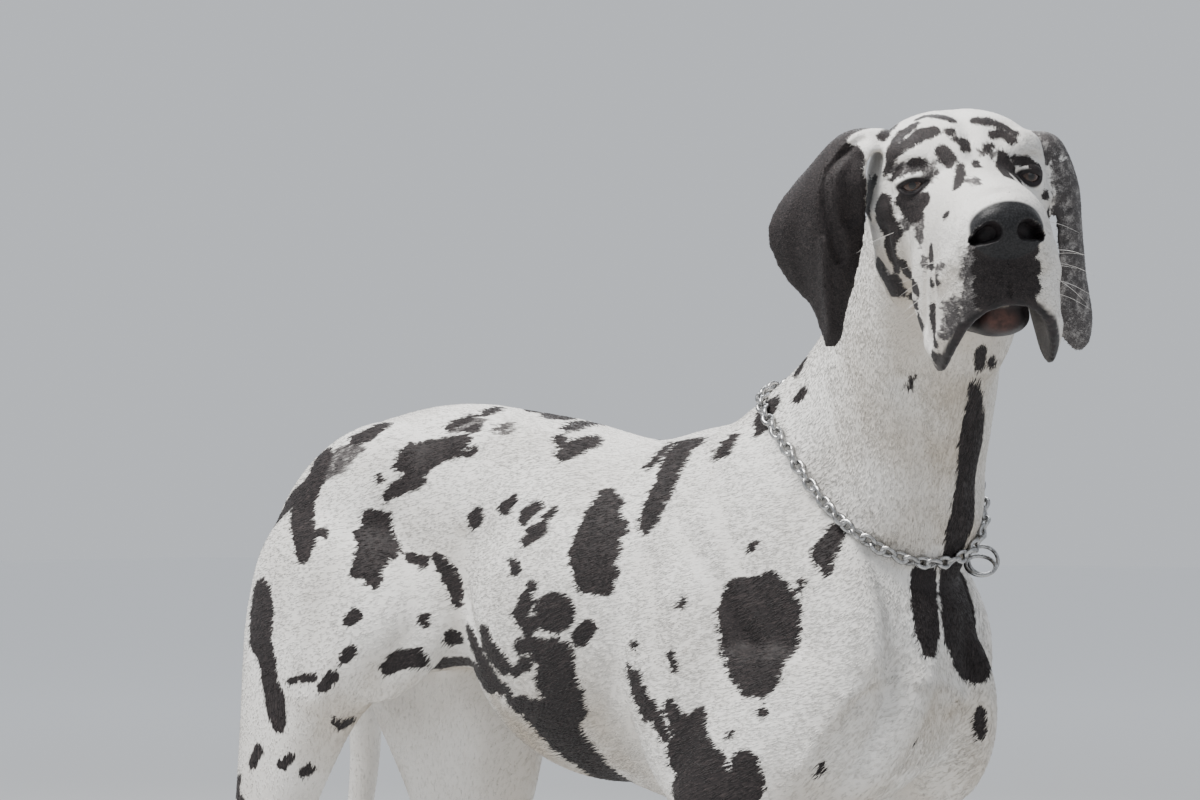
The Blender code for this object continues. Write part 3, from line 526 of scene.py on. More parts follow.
# %% Hanging lips
# Front to corner of the mouth: forward, sideways, height of the rim, thickness
LIP = (
    (0.140, 0.000, -0.088, 0.014),
    (0.138, 0.018, -0.093, 0.014),
    (0.126, 0.033, -0.108, 0.014),
    (0.102, 0.042, -0.132, 0.013),
    (0.072, 0.045, -0.150, 0.012),
    (0.042, 0.046, -0.147, 0.012),
    (0.014, 0.047, -0.128, 0.013),
    (-0.014, 0.048, -0.108, 0.016),
)
LIP_ROOT = -0.050

lip_line = catmull_rom(LIP, 3)
for side in (-1, 1):
    slices = []
    for i, (x, y, rim, thickness) in enumerate(lip_line):
        before, after = neighbours(lip_line, i)
        run = Vector((after[0] - before[0], after[1] - before[1], 0)).normalized()
        outward = Vector((run.y, -run.x * side, 0))
        half_height = (LIP_ROOT - rim) / 2
        slices.append((HEAD @ Vector((x, y * side, rim + half_height)), HEAD_AXES @ outward,
                       HEAD_AXES @ Vector((0, 0, 1)), thickness / 2, half_height, half_height))
    loft(body, slices, 2.6, 12)
print("lip slices", 2 * len(lip_line))

# %% [markdown]
# The ears are natural: a soft leather that leaves the skull, folds over and hangs. The right one is
# blown out sideways, with a rolled front edge that runs down to a narrow tip, and the left one hangs by the
# cheek. A grid is laid through a few rows of places and then thickened.

# %% Ears
# Rows from root to tip in the head frame, each from the front edge to the back edge
RIGHT_EAR = (
    ((-0.045, -0.058, 0.026), (-0.062, -0.058, 0.036), (-0.085, -0.058, 0.036), (-0.110, -0.058, 0.024)),
    ((-0.038, -0.078, 0.022), (-0.052, -0.088, 0.036), (-0.080, -0.094, 0.036), (-0.112, -0.088, 0.026)),
    ((-0.045, -0.083, -0.006), (-0.036, -0.102, 0.004), (-0.066, -0.122, 0.008), (-0.106, -0.126, 0.002)),
    ((-0.054, -0.087, -0.042), (-0.042, -0.110, -0.034), (-0.062, -0.134, -0.030), (-0.098, -0.160, -0.038)),
    ((-0.060, -0.094, -0.074), (-0.050, -0.112, -0.078), (-0.066, -0.128, -0.080), (-0.094, -0.150, -0.076)),
    ((-0.064, -0.106, -0.108), (-0.056, -0.113, -0.110), (-0.066, -0.120, -0.110), (-0.084, -0.128, -0.104)),
    ((-0.064, -0.113, -0.130), (-0.060, -0.116, -0.139), (-0.064, -0.120, -0.141), (-0.068, -0.122, -0.133)),
)
LEFT_EAR = (
    ((-0.045, 0.058, 0.022), (-0.062, 0.058, 0.032), (-0.085, 0.058, 0.032), (-0.110, 0.058, 0.020)),
    ((-0.042, 0.075, 0.018), (-0.055, 0.085, 0.026), (-0.080, 0.090, 0.024), (-0.108, 0.086, 0.016)),
    ((-0.040, 0.079, -0.015), (-0.052, 0.096, -0.010), (-0.080, 0.107, -0.014), (-0.112, 0.100, -0.020)),
    ((-0.040, 0.081, -0.055), (-0.052, 0.099, -0.052), (-0.080, 0.109, -0.052), (-0.114, 0.102, -0.055)),
    ((-0.042, 0.081, -0.095), (-0.056, 0.101, -0.094), (-0.080, 0.111, -0.094), (-0.110, 0.106, -0.092)),
    ((-0.046, 0.080, -0.130), (-0.060, 0.103, -0.134), (-0.082, 0.116, -0.134), (-0.104, 0.112, -0.126)),
    ((-0.056, 0.084, -0.150), (-0.066, 0.098, -0.163), (-0.080, 0.112, -0.160), (-0.092, 0.113, -0.146)),
)
EAR_LEATHER = 0.0058


def ear_leather(into, rows):
    """A grid laid through the rows of one ear, then thickened."""
    bm = bmesh.new()
    along = catmull_rom(np.array(rows).reshape(len(rows), -1), 4).reshape(-1, 4, 3)
    places = np.array([catmull_rom(row, 4) for row in along])
    down, across = places.shape[:2]
    made = bmesh.ops.create_grid(bm, x_segments=down - 1, y_segments=across - 1, size=0.5)["verts"]
    for vert in made:
        i, j = round((vert.co.x + 0.5) * (down - 1)), round((vert.co.y + 0.5) * (across - 1))
        vert.co = HEAD @ Vector(places[i, j])
    bm.normal_update()
    bmesh.ops.solidify(bm, geom=bm.faces[:], thickness=EAR_LEATHER)
    bmesh.ops.recalc_face_normals(bm, faces=bm.faces)
    pour(bm, into)


for rows in (RIGHT_EAR, LEFT_EAR):
    ear_leather(body, rows)
print("ears, vertices", len(body.verts))

# %% [markdown]
# A voxel remesh grows all these forms together into one skin, as clay would be pressed together, and Smooth
# then rounds the hollows between them. The head and the paws are smoothed little and the broad body more.
# Decimate thins only the broad body, so that the face keeps its fine mesh.

# %% Helpers for the skin
WEIGHT_STEPS = 20


def baked(obj):
    """Replaces the object's mesh with what its modifiers make of it."""
    graph = bpy.context.evaluated_depsgraph_get()
    made = bpy.data.meshes.new_from_object(obj.evaluated_get(graph))
    old = obj.data
    obj.modifiers.clear()
    obj.data = made
    bpy.data.meshes.remove(old)
    return obj


def places_of(obj):
    """The vertex places and normals of an object as two arrays."""
    count = len(obj.data.vertices)
    co = np.empty(count * 3, np.float32)
    normal = np.empty(count * 3, np.float32)
    obj.data.vertices.foreach_get("co", co)
    obj.data.vertex_normals.foreach_get("vector", normal)
    return co.reshape(-1, 3).astype(float), normal.reshape(-1, 3).astype(float)


def move_to(obj, co):
    """Puts the object's vertices at new places."""
    obj.data.vertices.foreach_set("co", co.astype(np.float32).ravel())
    obj.data.update()


def surface_of(obj):
    """The object's surface, to look up the nearest place on it or the place that a ray hits."""
    faces = [tuple(face.vertices) for face in obj.data.polygons]
    return BVHTree.FromPolygons(places_of(obj)[0].tolist(), faces)


def weigh(obj, name, weights):
    """A vertex group with one weight for each vertex."""
    group = obj.vertex_groups.new(name=name)
    levels = np.round(np.clip(weights, 0, 1) * WEIGHT_STEPS).astype(int)
    for level in np.unique(levels):
        group.add(np.nonzero(levels == level)[0].tolist(), level / WEIGHT_STEPS, "REPLACE")


def eased(values, low, high):
    """0 below low, 1 above high, and a smooth rise between them."""
    t = np.clip((values - low) / (high - low), 0, 1)
    return t * t * (3 - 2 * t)


def in_head(points, head=HEAD):
    """Places in the head's own frame."""
    back = np.array(head.inverted())
    return points @ back[:3, :3].T + back[:3, 3]


def near_place(points, place, reach):
    """1 at a place and 0 beyond its reach."""
    return 1 - eased(np.linalg.norm(points - np.array(place), axis=1), reach * 0.3, reach)


print("form grown from", len(body.verts), "vertices")

# %% Growing the forms together
VOXEL = 0.0034
SKIN_TRIANGLES = 142000
PAW_TOP = 0.075

skin = piece_of("skin", body)
grow = skin.modifiers.new("grow_together", "REMESH")
grow.mode = "VOXEL"
grow.voxel_size = VOXEL
baked(skin)
print("grown together:", len(skin.data.vertices), "vertices")

co, normal = places_of(skin)
local = in_head(co)
near_head = eased(local[:, 0], -0.185, -0.130) * eased(local[:, 2], -0.21, -0.17)
near_paw = 1 - eased(co[:, 2], PAW_TOP - 0.02, PAW_TOP + 0.02)
weigh(skin, "broad", 1 - np.maximum(near_head, near_paw))
# The stop, the brows and the back end of the lips flow into the face
flowing = near_place(local, (0.008, 0, 0.024), 0.045)
for side in (-1, 1):
    flowing = np.maximum(flowing, 0.7 * near_place(local, (-0.018, 0.050 * side, -0.085), 0.050))
    flowing = np.maximum(flowing, 0.6 * near_place(local, (-0.050, 0.040 * side, 0.035), 0.040))
weigh(skin, "flowing", flowing)
# How often each Smooth modifier runs, and the vertex group that it runs on
STEPS = (("even", 5, ""), ("soften", 60, "broad"), ("flow", 36, "flowing"))
for name, iterations, group in STEPS:
    smooth = skin.modifiers.new(name, "SMOOTH")
    smooth.factor = 0.5
    smooth.iterations = iterations
    smooth.vertex_group = group
baked(skin)
full_form = surface_of(skin)
thin = skin.modifiers.new("thin_out", "DECIMATE")
thin.ratio = min(1, SKIN_TRIANGLES / (2 * len(skin.data.polygons)))
thin.vertex_group = "broad"
thin.vertex_group_factor = 0.2
thin.use_collapse_triangulate = True
baked(skin)
print("skin", len(skin.data.vertices), "vertices", len(skin.data.polygons), "faces")

# %% [markdown]
# Everything so far was written round the chest. Now the skin moves to its place in the frame, and the
# fine work starts: first the mesh is divided where Decimate left it too coarse for the markings, and round
# the eyes and nostrils, as a sculptor would add clay where the small forms are.

# %% Finer mesh where the small forms are
ROW_HEAD = Matrix.Translation(TO_ORIGIN) @ HEAD
LONGEST_EDGE = 0.0095


def divide_long(obj, longest, full):
    """Divides every edge that is too long, and lays the new vertices on the full form."""
    bm = bmesh.new()
    bm.from_mesh(obj.data)
    for _ in range(3):
        edges = [edge for edge in bm.edges if edge.calc_length() > longest]
        made = bmesh.ops.subdivide_edges(bm, edges=edges, cuts=1)["geom_inner"]
        for part in made:
            if isinstance(part, bmesh.types.BMVert):
                part.co = full.find_nearest(part.co)[0]
        bmesh.ops.triangulate(bm, faces=[face for face in bm.faces if len(face.verts) > 3])
    bm.to_mesh(obj.data)
    bm.free()


def divide_near(obj, centre, reach):
    """Divides the faces within reach of a place in the head."""
    bm = bmesh.new()
    bm.from_mesh(obj.data)
    middle = ROW_HEAD @ Vector(centre)
    close = {vert for vert in bm.verts if (vert.co - middle).length < reach}
    edges = [edge for edge in bm.edges if edge.verts[0] in close and edge.verts[1] in close]
    bmesh.ops.subdivide_edges(bm, edges=edges, cuts=1, use_grid_fill=True)
    bmesh.ops.triangulate(bm, faces=[face for face in bm.faces if len(face.verts) > 3])
    bm.to_mesh(obj.data)
    bm.free()


divide_long(skin, LONGEST_EDGE, full_form)
print("skin", len(skin.data.vertices), "vertices, no edge much over", LONGEST_EDGE)
skin.data.transform(Matrix.Translation(TO_ORIGIN))
for side in (-1, 1):
    for reach in (0.023, 0.019):
        divide_near(skin, (EYE_AT.x + 0.012, EYE_AT.y * side, EYE_AT.z), reach)
for reach in (0.036, 0.022):
    divide_near(skin, (0.148, 0, -0.030), reach)
print("skin", len(skin.data.vertices), "vertices after dividing")

# %% [markdown]
# Sculpting in code: a stroke is a path of places with a radius, and it lifts or sinks the skin near
# the path, most in the middle and nothing at the edge. The same measure, the distance from a path, later
# paints the markings too.

# %% Strokes
def distance_from(points, path):
    """Distance from the edge of a chain of balls: each place of the path has a radius. Below zero is inside."""
    path = np.array(path, float).reshape(-1, 4)
    ends = path[1:] if len(path) > 1 else path
    best = np.full(len(points), 9.0)
    for a, b in zip(path, ends):
        run = b[:3] - a[:3]
        t = np.clip((points - a[:3]) @ run / max(run @ run, 1e-12), 0, 1)
        gap = np.linalg.norm(points - a[:3] - t[:, None] * run, axis=1) - (a[3] + (b[3] - a[3]) * t)
        best = np.minimum(best, gap)
    return best


def in_box(points, low, high):
    """The numbers of the points that lie in a box."""
    return np.nonzero(((points > low) & (points < high)).all(1))[0]


def raised(points, path, height):
    """How far a stroke moves each point: the whole height on the path and nothing past its radius."""
    path = np.array(path, float).reshape(-1, 4)
    line = path.copy()
    line[:, 3] = 0
    low, high = path[:, :3].min(0) - path[:, 3].max(), path[:, :3].max(0) + path[:, 3].max()
    near = in_box(points, low, high)
    lift = np.zeros(len(points))
    if len(near):
        reach = path[:, 3].mean()
        share = np.clip(1 - distance_from(points[near], line) / reach, 0, 1)
        lift[near] = height * share * share * (3 - 2 * share)
    return lift


def mirrored(path):
    """The same path in the head frame, on the other side."""
    return [(x, -y, z, radius) for x, y, z, radius in path]


print("strokes ready")

# %% Forms of the head
# In the head frame, for both sides: path, and how far it lifts the skin
HEAD_STROKES = (
    # Brow ridge, hollow above the inner corner, hollow below the eye, cheekbone
    ([(-0.004, 0.030, 0.020, 0.013), (-0.016, 0.050, 0.021, 0.013), (-0.034, 0.062, 0.012, 0.013)], 0.0034),
    ([(0.006, 0.024, 0.008, 0.012), (0.012, 0.026, -0.008, 0.012)], -0.0036),
    ([(0.010, 0.036, -0.016, 0.012), (-0.012, 0.056, -0.022, 0.013)], -0.0034),
    ([(-0.020, 0.064, -0.020, 0.012), (-0.062, 0.076, -0.026, 0.014)], 0.0028),
    # Folds of the cheek that run down to the corner of the mouth
    ([(-0.002, 0.060, -0.036, 0.010), (-0.006, 0.058, -0.066, 0.010), (-0.014, 0.055, -0.096, 0.012)], -0.0032),
    ([(-0.032, 0.070, -0.044, 0.011), (-0.038, 0.068, -0.078, 0.011), (-0.044, 0.058, -0.104, 0.013)], -0.0030),
    # Flew: its full lower edge, and the soft folds that hang in it
    ([(0.098, 0.048, -0.112, 0.013), (0.070, 0.051, -0.134, 0.013), (0.040, 0.052, -0.130, 0.013)], 0.0024),
    ([(0.086, 0.052, -0.070, 0.010), (0.074, 0.053, -0.108, 0.012)], -0.0024),
    ([(0.052, 0.053, -0.060, 0.011), (0.040, 0.054, -0.112, 0.013)], -0.0032),
    # Whisker pad beside the nose
    ([(0.118, 0.036, -0.052, 0.018), (0.100, 0.044, -0.066, 0.018)], 0.0034),
    # Wing of the nostril, and the rim below it
    ([(0.150, 0.008, -0.014, 0.007), (0.148, 0.020, -0.016, 0.007), (0.142, 0.027, -0.026, 0.007)], 0.0012),
    ([(0.152, 0.008, -0.040, 0.005), (0.149, 0.018, -0.042, 0.005), (0.143, 0.026, -0.038, 0.005)], 0.0008),
    # Edge of the nose leather
    ([(0.122, 0.000, 0.004, 0.006), (0.122, 0.020, -0.002, 0.006), (0.124, 0.032, -0.018, 0.006),
      (0.130, 0.032, -0.034, 0.006), (0.138, 0.022, -0.048, 0.006)], -0.0014),
    # Jaw muscle
    ([(-0.060, 0.070, -0.056, 0.022), (-0.086, 0.070, -0.076, 0.022)], 0.0024),
)
# In the head frame, on the middle line
MIDDLE_STROKES = (
    # Furrow of the forehead, stop, groove of the upper lip, bridge of the nose
    ([(-0.006, 0, 0.040, 0.013), (-0.050, 0, 0.056, 0.013), (-0.094, 0, 0.056, 0.013)], -0.0030),
    ([(0.012, 0, 0.022, 0.013), (0.000, 0, 0.034, 0.013)], -0.0024),
    ([(0.158, 0, -0.030, 0.0045), (0.152, 0, -0.050, 0.0045), (0.146, 0, -0.088, 0.0045)], -0.0026),
    ([(0.030, 0, 0.014, 0.016), (0.110, 0, 0.008, 0.016)], 0.0014),
)

co, normal = places_of(skin)
local = in_head(co, ROW_HEAD)
lift = sum(raised(local, path, height) + raised(local, mirrored(path), height)
           for path, height in HEAD_STROKES)
lift += sum(raised(local, path, height) for path, height in MIDDLE_STROKES)
move_to(skin, co + normal * lift[:, None])
print("head strokes", len(HEAD_STROKES), "a side, lifted up to", round(float(lift.max()), 4))

# %% [markdown]
# The body gets its muscles, tendons and folds from the same strokes. They are written in millimetres, and
# most of them are used on both sides of the dog.

# %% Muscles and tendons
MIDDLE = TO_ORIGIN.y
SIGHT = np.array((cos(radians(CAMERA_YAW)), sin(radians(CAMERA_YAW)), 0.0))


def metres(path):
    """A path in metres."""
    return np.array(path, float) / 1000


def other_side(path):
    """The same path on the dog's other side."""
    return path * (1, -1, 1, 1) + (0, 2 * MIDDLE, 0, 0)


# On the right side: path in millimetres, and how far it lifts the skin in metres
BOTH_SIDES = (
    # Hollow behind the shoulder, hip bone, fold of the flank, groove of the thigh
    (((77, -14, 696, 30), (91, -27, 648, 28), (103, -34, 601, 24), (113, -38, 563, 20)), -0.0040),
    (((-176, 44, 824, 26), (-202, 40, 812, 24)), 0.0050),
    (((-185, 18, 714, 24), (-188, 22, 662, 24), (-152, 2, 612, 22), (-119, 1, 563, 20)), -0.0040),
    (((-320, -13, 714, 30), (-333, -29, 651, 30), (-359, -31, 566, 24)), -0.0038),
    # Ridge of the shoulder blade, elbow, hollow under the breast
    (((127, 3, 735, 26), (166, -4, 678, 26), (215, -10, 613, 20)), 0.0045),
    (((128, -46, 470, 24), (140, -46, 452, 22)), 0.0035),
    (((318, -2, 579, 22), (300, -14, 542, 24), (269, -17, 486, 22)), -0.0030),
)
NECK_AND_BREAST = (
    # Long muscle of the neck, and the groove beside the windpipe
    (((280, 3, 874, 20), (297, 10, 809, 22), (315, 33, 725, 18)), 0.0035),
    (((369, -19, 861, 15), (364, 24, 799, 17), (350, 71, 711, 15)), -0.0034),
    # The hair meets in low ridges over the breast, above the keel of the breastbone
    (((261, -30, 505, 10), (302, -17, 570, 10), (319, -4, 586, 10), (331, 33, 588, 10),
      (346, 44, 586, 10)), 0.0020),
    (((346, 44, 586, 10), (346, 89, 582, 10), (345, 128, 564, 10)), 0.0020),
    (((352, 104, 650, 28), (348, 104, 570, 28)), 0.0040),
    # The neck narrows on its left side
    (((419, 83, 863, 60), (399, 105, 817, 62), (384, 115, 782, 60)), -0.0150),
)
# Folds that bend the leather of an ear towards the camera, or away from it
EAR_FOLDS = (
    # Right ear: the deep fold behind its rolled front, the roll, the cup in front, and the hollow of the lobe
    (((423, -181, 1057, 9), (411, -189, 1047, 9), (399, -194, 1030, 9), (396, -195, 1002, 9),
      (398, -188, 981, 9), (398, -176, 958, 9)), -0.0060),
    (((388, -184, 972, 9), (381, -175, 940, 10), (377, -164, 915, 9), (376, -160, 896, 7)), 0.0055),
    (((419, -189, 1041, 17), (416, -194, 1018, 19), (411, -183, 993, 16)), -0.0080),
    (((366, -190, 996, 20), (358, -181, 967, 20), (361, -169, 937, 16)), -0.0040),
    # Left ear: wrinkles across it, and the fold along its front
    (((545, -72, 1005, 7), (552, -55, 1002, 7), (551, -30, 1006, 7)), -0.0026),
    (((550, -60, 972, 7), (550, -48, 972, 7), (548, -19, 977, 7)), -0.0026),
    (((550, -52, 945, 7), (548, -36, 945, 7), (546, -12, 950, 7)), -0.0022),
    (((539, -44, 924, 7), (546, -26, 923, 7), (544, 0, 928, 7)), -0.0022),
)
print("body strokes", len(BOTH_SIDES) + len(NECK_AND_BREAST) + len(EAR_FOLDS))

# %% Forms of the body
# Hollow between the bone and the tendon of a leg: forward, height and reach of each place
FORE_HOLLOW = ((169, 345, 12), (170, 285, 11), (172, 215, 10))
HIND_HOLLOWS = (
    (8, ((-462, 410, 15), (-507, 310, 15), (-550, 256, 12))),
    (200, ((-366, 410, 15), (-390, 310, 15), (-426, 256, 12))),
)
HOLLOW_DEPTH = -0.0034
LEG_HALF_WIDTH = 27
FORELEG_MIDDLES = (-14, 222)

co, normal = places_of(skin)
lift = sum(raised(co, metres(path), height) + raised(co, other_side(metres(path)), height)
           for path, height in BOTH_SIDES)
lift += sum(raised(co, metres(path), height) for path, height in NECK_AND_BREAST)
hollows = [(middle, ahead, FORE_HOLLOW)
           for middle, ahead in zip(FORELEG_MIDDLES, (0, 1000 * LEFT_FORELEG_STEP))]
hollows += [(middle, 0, path) for middle, path in HIND_HOLLOWS]
for middle, ahead, path in hollows:
    for y in (middle - LEG_HALF_WIDTH, middle + LEG_HALF_WIDTH):
        lift += raised(co, metres([(x + ahead, y, z, reach) for x, z, reach in path]), HOLLOW_DEPTH)
co += normal * lift[:, None]
bend = sum(raised(co, metres(path), height) for path, height in EAR_FOLDS)
co -= SIGHT * bend[:, None]
# The pads press flat on the floor
co[:, 2] = np.maximum(co[:, 2], 0)
move_to(skin, co)
print("body strokes lift up to", round(float(lift.max()), 4), "and sink to", round(float(lift.min()), 4))

# %% [markdown]
# The eyes: the lids are opened by pushing the skin inside an almond outline back behind the eyeball. The
# upper lid is heavy and the lower lid sags a little, as in the breed. The nostrils are pushed in along
# short paths, a round hole with a slit that curves outwards.

# %% Lids and nostrils
EYE_TURN = 20
LID_HALF_WIDTH = 0.0138
UPPER_LID, LOWER_LID = 0.0040, 0.0066
LID_TILT = 0.16
# How far the lids stand off the ball at their edge, how far they then roll out, and how deep they open
LID_OFF_BALL, LID_ROLL, BEHIND_FRONT = 0.0016, 0.0020, 0.0045
CREASE_FROM_EDGE, CREASE_WIDTH, CREASE_DEPTH = 0.0078, 0.0016, 0.0013
# In the head frame: the round hole, and the slit that curves outwards from it
NOSTRIL = (
    (0.1560, 0.0140, -0.0265, 0.0084),
    (0.1530, 0.0195, -0.0290, 0.0072),
    (0.1480, 0.0260, -0.0335, 0.0038),
)
NOSTRIL_DEPTH = 0.016


def eye_axes(side):
    """Centre of one eye and its own directions: out along the gaze, to the outer corner, and up."""
    turn = radians(EYE_TURN)
    gaze = Vector((cos(turn), side * sin(turn), 0))
    outer = Vector((-sin(turn), side * cos(turn), 0))
    return Vector((EYE_AT.x, EYE_AT.y * side, EYE_AT.z)), gaze, outer, Vector((0, 0, 1))


def lid_gap(across, rise):
    """Distance from the edge of the lids: below zero in the opening, above zero on the lids."""
    bow = 1 - (across / LID_HALF_WIDTH) ** 2
    rise = rise + LID_TILT * across
    return np.maximum(rise - UPPER_LID * bow, -rise - LOWER_LID * bow)


def nostril_gap(local, path):
    """Distance from the edge of a nostril, as seen from the front: below zero in the hole."""
    return distance_from(local * (0, 1, 1), [(0, y, z, radius) for x, y, z, radius in path])


co, normal = places_of(skin)
local = in_head(co, ROW_HEAD)
for side in (-1, 1):
    centre, gaze, outer, up = (np.array(v) for v in eye_axes(side))
    out = local - centre
    depth, across, rise = out @ gaze, out @ outer, out @ up
    gap = lid_gap(across, rise)
    reach = np.linalg.norm(out, axis=1)
    near = (depth > 0.003) & (reach < 0.034)
    direction = out / reach[:, None]
    # The lids: close round the ball at their edge, a soft roll behind it, and a crease above and below
    opened = near & (gap < 0.0) & (np.abs(across) < LID_HALF_WIDTH * 1.02)
    level = np.where(gap < -0.0009, EYE_RADIUS - BEHIND_FRONT, EYE_RADIUS + LID_OFF_BALL)
    local[opened] = (centre + direction * level[:, None])[opened]
    lid = near & ~opened & (gap < 0.012)
    ring = EYE_RADIUS + LID_OFF_BALL + LID_ROLL * eased(gap, 0.0, 0.0022)
    share = (1 - eased(gap, 0.0035, 0.009))[:, None]
    held = centre + direction * np.maximum(ring, 0)[:, None]
    local[lid] = (local * (1 - share) + held * share)[lid]
    crease = near & ~opened
    fold = CREASE_DEPTH * np.exp(-((gap - CREASE_FROM_EDGE) / CREASE_WIDTH) ** 2)
    local[crease] -= (direction * fold[:, None])[crease]
for path in (NOSTRIL, mirrored(NOSTRIL)):
    inside = -nostril_gap(local, path)
    front = (local[:, 0] > 0.136) & (inside > -0.001)
    push = NOSTRIL_DEPTH * eased(inside, -0.0006, 0.0030)
    local[front] -= (np.array((1.0, 0, 0.15)) * push[:, None])[front]
move_to(skin, local @ np.array(HEAD_AXES).T + np.array(ROW_HEAD.translation))
print("lids opened", 2 * LID_HALF_WIDTH, "wide")

# %% [markdown]
# A harlequin coat is white with torn black patches, scattered over the whole dog, each one different. Each
# patch is written down as one or more strokes, as a painter would place them: the distance from the
# nearest stroke is kept on the skin as an attribute, and the material tears its edge along the hair. A few
# strokes are painted shade instead, in the fold of the flank and round the eyes, and say so where they stand.

# %% Patches of the rump and thigh
# Millimetres in the frame: forward, left, up and radius, as the photograph shows them
HIND_MARKS = (
    ((-301, 34, 838, 4), (-315, 21, 827, 6), (-332, 16, 821, 6)),
    ((-375, 15, 805, 9), (-379, 4, 778, 11), (-394, 2, 757, 15), (-387, -7, 735, 13), (-372, -18, 714, 12),
     (-371, -23, 698, 7)),
    ((-411, 8, 762, 7), (-430, 12, 746, 5), (-446, 17, 734, 3)),
    ((-346, -14, 721, 4), (-355, -14, 723, 3)),
    ((-197, 42, 819, 5), (-217, 36, 811, 11), (-241, 32, 803, 15), (-256, 25, 796, 15), (-248, 22, 779, 9),
     (-267, 15, 770, 6), (-279, 9, 760, 4)),
    ((-267, 18, 794, 6), (-261, 27, 809, 7)),
    ((-210, 62, 843, 3), (-219, 55, 838, 4), (-228, 50, 833, 3)),
    ((-192, 52, 831, 5), (-200, 50, 829, 3)), ((-189, 88, 853, 4), (-197, 69, 847, 3)),
    ((-181, 36, 807, 3), (-194, 34, 804, 3)),
    ((-296, 4, 735, 10), (-287, 8, 734, 11), (-284, -1, 709, 20), (-276, 3, 706, 14), (-286, -11, 693, 15),
     (-278, -13, 674, 8)),
    ((-309, -6, 721, 4), (-298, -4, 718, 8)), ((-297, -19, 681, 6), (-287, -12, 691, 8)),
    ((-287, 7, 779, 4),), ((-253, 15, 697, 4), (-235, 18, 691, 5)),
    # In the fold of the flank behind the ribs: painted shadow, drawn black like a patch
    ((-219, 19, 696, 4), (-206, 20, 683, 8), (-197, 21, 667, 7), (-195, 25, 649, 4)),
    ((-434, -19, 660, 11), (-430, -24, 633, 16), (-430, -26, 606, 14), (-414, -30, 585, 9),
     (-410, -31, 564, 9), (-403, -31, 543, 12), (-398, -30, 522, 9), (-399, -29, 513, 4)),
    ((-430, -28, 488, 5), (-438, -28, 472, 4)), ((-398, -23, 474, 5), (-390, -21, 483, 3)),
    ((-377, -4, 470, 4), (-383, -8, 465, 3)), ((-300, -23, 599, 5), (-311, -25, 590, 4)),
    ((-325, -25, 571, 5), (-340, -25, 558, 4)),
    ((-349, -30, 569, 4), (-366, -32, 567, 3), (-383, -32, 564, 2)),
    ((-295, -24, 636, 6), (-304, -26, 629, 3)),
    ((-339, 20, 522, 4), (-344, 10, 517, 4), (-342, -3, 523, 3)),
    ((-230, 12, 633, 5), (-227, 14, 627, 3)), ((-210, 32, 613, 7), (-205, 38, 611, 5)),
    ((-273, 3, 580, 6), (-258, 6, 589, 9), (-240, 13, 592, 8), (-263, 76, 581, 9), (-230, 73, 584, 7),
     (-163, 19, 579, 8), (-141, 11, 563, 6)),
)
print("patches", len(HIND_MARKS))

# %% Patches of the ribs, belly and loin
RIB_MARKS = (
    ((-130, -10, 621, 6), (-128, -10, 608, 8), (-112, -14, 596, 9), (-99, -16, 587, 7)),
    # Along the fold of the flank: painted shadow, drawn black like a patch
    ((-176, 17, 623, 3), (-158, 7, 604, 5), (-138, 1, 584, 6), (-119, 1, 563, 5)),
    ((-108, -5, 565, 5), (-102, -1, 550, 4), (-91, -3, 548, 7)),
    ((-82, -6, 550, 8), (-58, -3, 537, 18), (-42, 9, 518, 20), (-28, 32, 494, 16), (-30, 70, 474, 14),
     (-15, 81, 471, 12)),
    ((-38, -29, 604, 13), (-20, -28, 602, 14), (-30, -22, 577, 19), (-23, -16, 560, 20), (-15, -12, 549, 13),
     (-39, -1, 530, 15)),
    ((-22, -32, 644, 19),),
    ((-60, -30, 655, 7), (-70, -28, 640, 6), (-59, -30, 629, 6), (-47, -31, 634, 5)),
    ((-54, -28, 670, 4),), ((-80, -22, 685, 5), (-88, -17, 693, 3)),
    ((15, -28, 630, 7), (8, -29, 620, 7)), ((-69, -27, 610, 6), (-54, -29, 615, 5)),
    ((-65, -24, 592, 6), (-85, -18, 583, 4)),
    ((13, 6, 755, 10), (17, -6, 735, 18), (18, -16, 710, 23), (8, -21, 699, 17), (25, -22, 686, 17),
     (15, -25, 678, 14), (33, -23, 671, 8)),
    ((26, 5, 751, 6),), ((37, -6, 727, 8),), ((-41, 60, 815, 6), (-53, 44, 808, 9), (-64, 33, 800, 5)),
    ((-82, 69, 830, 5), (-78, 97, 834, 6), (-76, 121, 833, 4)), ((-81, 50, 819, 4), (-68, 43, 810, 4)),
    ((-109, 11, 757, 3), (-118, 10, 748, 7)), ((-71, 4, 750, 4), (-85, 3, 742, 6), (-88, 0, 735, 4)),
    ((-46, -3, 744, 3), (-56, -5, 738, 3)),
    ((-53, -10, 730, 4), (-64, -13, 721, 7), (-74, -15, 712, 3)),
    ((-160, 17, 742, 5), (-167, 17, 735, 7)),
)
print("patches", len(RIB_MARKS))

